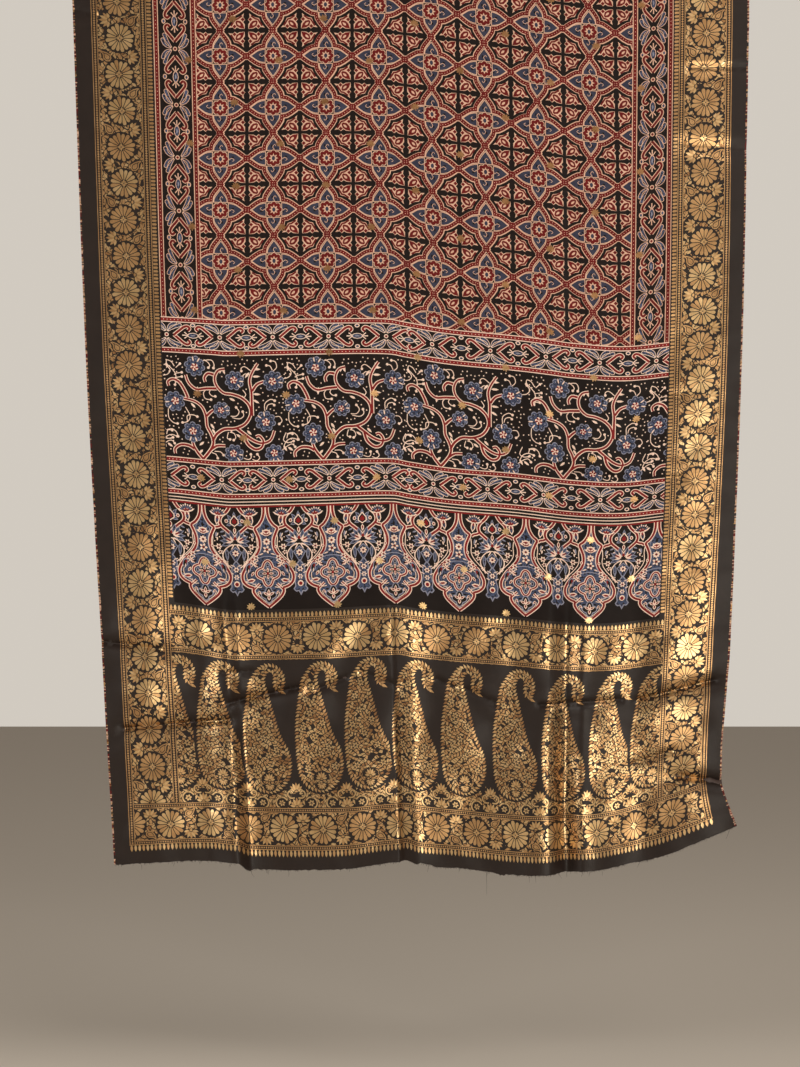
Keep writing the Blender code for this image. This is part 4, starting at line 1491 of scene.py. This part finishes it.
def makeThreads():
    # frayed ends along the cut lower edge
    rnd = random.Random(17)
    hem = np.array(hemLine(hemCut["step"]))
    roots, reaches = [], []
    x = layout["leftEdge"] + 1
    while x < layout["rightEdge"] - 1:
        thick = math.sin(x / 21) + math.sin(x / 8.3 + 2) > -0.4
        if thick or rnd.random() < 0.3:
            roots.append((x, np.interp(x, hem[:, 0], hem[:, 1]) - 0.6))
            reaches.append(rnd.uniform(1.5, 3.6) if rnd.random() > 0.05 else rnd.uniform(5, 10))
        x += rnd.uniform(0.9, 2.0)
    for x, reach in ((96, 34), (-271, 10), (2, 11), (228, 9), (467, 14)):
        roots.append((x, np.interp(x, hem[:, 0], hem[:, 1]) - 0.6))
        reaches.append(reach)
    roots = np.array(roots)
    starts = hang(roots[:, 0], roots[:, 1])
    points, faces, flat = [], [], []
    for start, root, reach in zip(starts, roots, reaches):
        lean, bend = rnd.uniform(-0.5, 0.5), rnd.uniform(-0.35, 0.35)
        first = len(points)
        for k in range(3):
            t = k / 2
            middle = start + np.array([(lean * t + bend * t * t) * min(reach, 8), -0.25 * t * rnd.uniform(-1, 1) * min(reach, 6),
                                       -reach * t]) * mm
            thin = 0.28 * (1 - 0.6 * t) * mm
            for corner in range(3):
                turn = corner * 2 * math.pi / 3
                points.append(middle + np.array([thin * math.cos(turn), thin * math.sin(turn), 0]))
                flat.append(root + (thin * math.cos(turn) / mm, reach * t))
        for k in range(2):
            for corner in range(3):
                a, b = first + 3 * k + corner, first + 3 * k + (corner + 1) % 3
                faces.append((a, a + 3, b + 3, b))
        faces.append((first + 6, first + 8, first + 7))
    points = np.array(points)
    centres = np.repeat(points.reshape(-1, 3, 3).mean(axis=1), 3, axis=0)
    normals = (points - centres) / np.linalg.norm(points - centres, axis=1, keepdims=True)
    print("threads", len(roots))
    return meshPiece("hemThreads", points, faces, normals, np.array(flat), ["silk"], [0] * len(faces))


pieces = makePrintField() + makePrintBands() + makePaisleyEnd()
pieces += [makeGoldSide("goldBorderLeft", False), makeGoldSide("goldBorderRight", True), makeLowerBorder()]
back = makeBack()
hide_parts("cloth")
makeThreads()
print("cloth: hung")


# Floor, light and camera.
studio = {"floorDrop": 0.30, "floorSize": 12.0, "cameraAcross": -0.014, "cameraHeight": -0.787,
          "cameraBack": 3.2, "frameHeight": 1.494, "sensor": 36.0}


def makeFloor():
    bpy.ops.object.select_all(action="DESELECT")
    low = cadBox[0][2] - studio["floorDrop"]
    bpy.ops.mesh.primitive_plane_add(size=studio["floorSize"], location=(0, 0, low))
    floor = bpy.context.active_object
    floor.name = "floor"
    material = bpy.data.materials.new("paleFloor")
    material.use_nodes = True
    shader = material.node_tree.nodes["Principled BSDF"]
    shader.inputs["Base Color"].default_value = (0.72, 0.66, 0.58, 1)
    shader.inputs["Roughness"].default_value = 0.8
    floor.data.materials.append(material)


def makeLight(name, place, aim, size, power, colour):
    data = bpy.data.lights.new(name, "AREA")
    data.shape, data.size, data.size_y = "RECTANGLE", size[0], size[1]
    data.energy, data.color = power, colour
    light = bpy.data.objects.new(name, data)
    bpy.context.scene.collection.objects.link(light)
    from mathutils import Vector
    light.location = place
    light.rotation_euler = (Vector(aim) - Vector(place)).to_track_quat("-Z", "Y").to_euler()


def makeWorld():
    # pale to look at, and dimmer as a light, so that the lamps shape the folds
    world = bpy.data.worlds.new("studioWorld")
    world.use_nodes = True
    tree = world.node_tree
    pale, dim = tree.nodes["Background"], tree.nodes.new("ShaderNodeBackground")
    pale.inputs["Color"].default_value = (0.80, 0.74, 0.66, 1)
    pale.inputs["Strength"].default_value = 0.80
    dim.inputs["Color"].default_value = (0.86, 0.76, 0.66, 1)
    dim.inputs["Strength"].default_value = 0.28
    mix, path = tree.nodes.new("ShaderNodeMixShader"), tree.nodes.new("ShaderNodeLightPath")
    tree.links.new(path.outputs["Is Camera Ray"], mix.inputs["Fac"])
    tree.links.new(dim.outputs["Background"], mix.inputs[1])
    tree.links.new(pale.outputs["Background"], mix.inputs[2])
    tree.links.new(mix.outputs["Shader"], tree.nodes["World Output"].inputs["Surface"])
    bpy.context.scene.world = world


def makeStudio():
    makeFloor()
    makeWorld()
    makeLight("lowSoftbox", (1.1, -3.3, -1.5), (0, 0, -0.8), (1.2, 0.9), 50, (1.0, 0.94, 0.83))
    makeLight("highSoftbox", (1.3, -3.1, 1.7), (0, 0, -0.4), (1.8, 1.0), 17, (1.0, 0.90, 0.80))
    makeLight("leftLight", (-2.4, -1.5, -0.2), (0, 0, -0.6), (1.0, 1.6), 34, (1.0, 0.95, 0.88))
    makeLight("rightLight", (2.3, -1.4, 0.5), (0, 0, -0.6), (1.0, 1.4), 28, (1.0, 0.95, 0.88))
    camera = bpy.data.cameras.new("camera")
    camera.sensor_fit, camera.sensor_height = "VERTICAL", studio["sensor"]
    camera.lens = studio["sensor"] * studio["cameraBack"] / studio["frameHeight"]
    holder = bpy.data.objects.new("camera", camera)
    holder.location = (studio["cameraAcross"], -studio["cameraBack"], studio["cameraHeight"])
    holder.rotation_euler = (math.pi / 2, 0, 0)
    bpy.context.scene.collection.objects.link(holder)
    bpy.context.scene.camera = holder
    bpy.context.scene.view_settings.view_transform = "Standard"


makeStudio()
print("studio: ready")
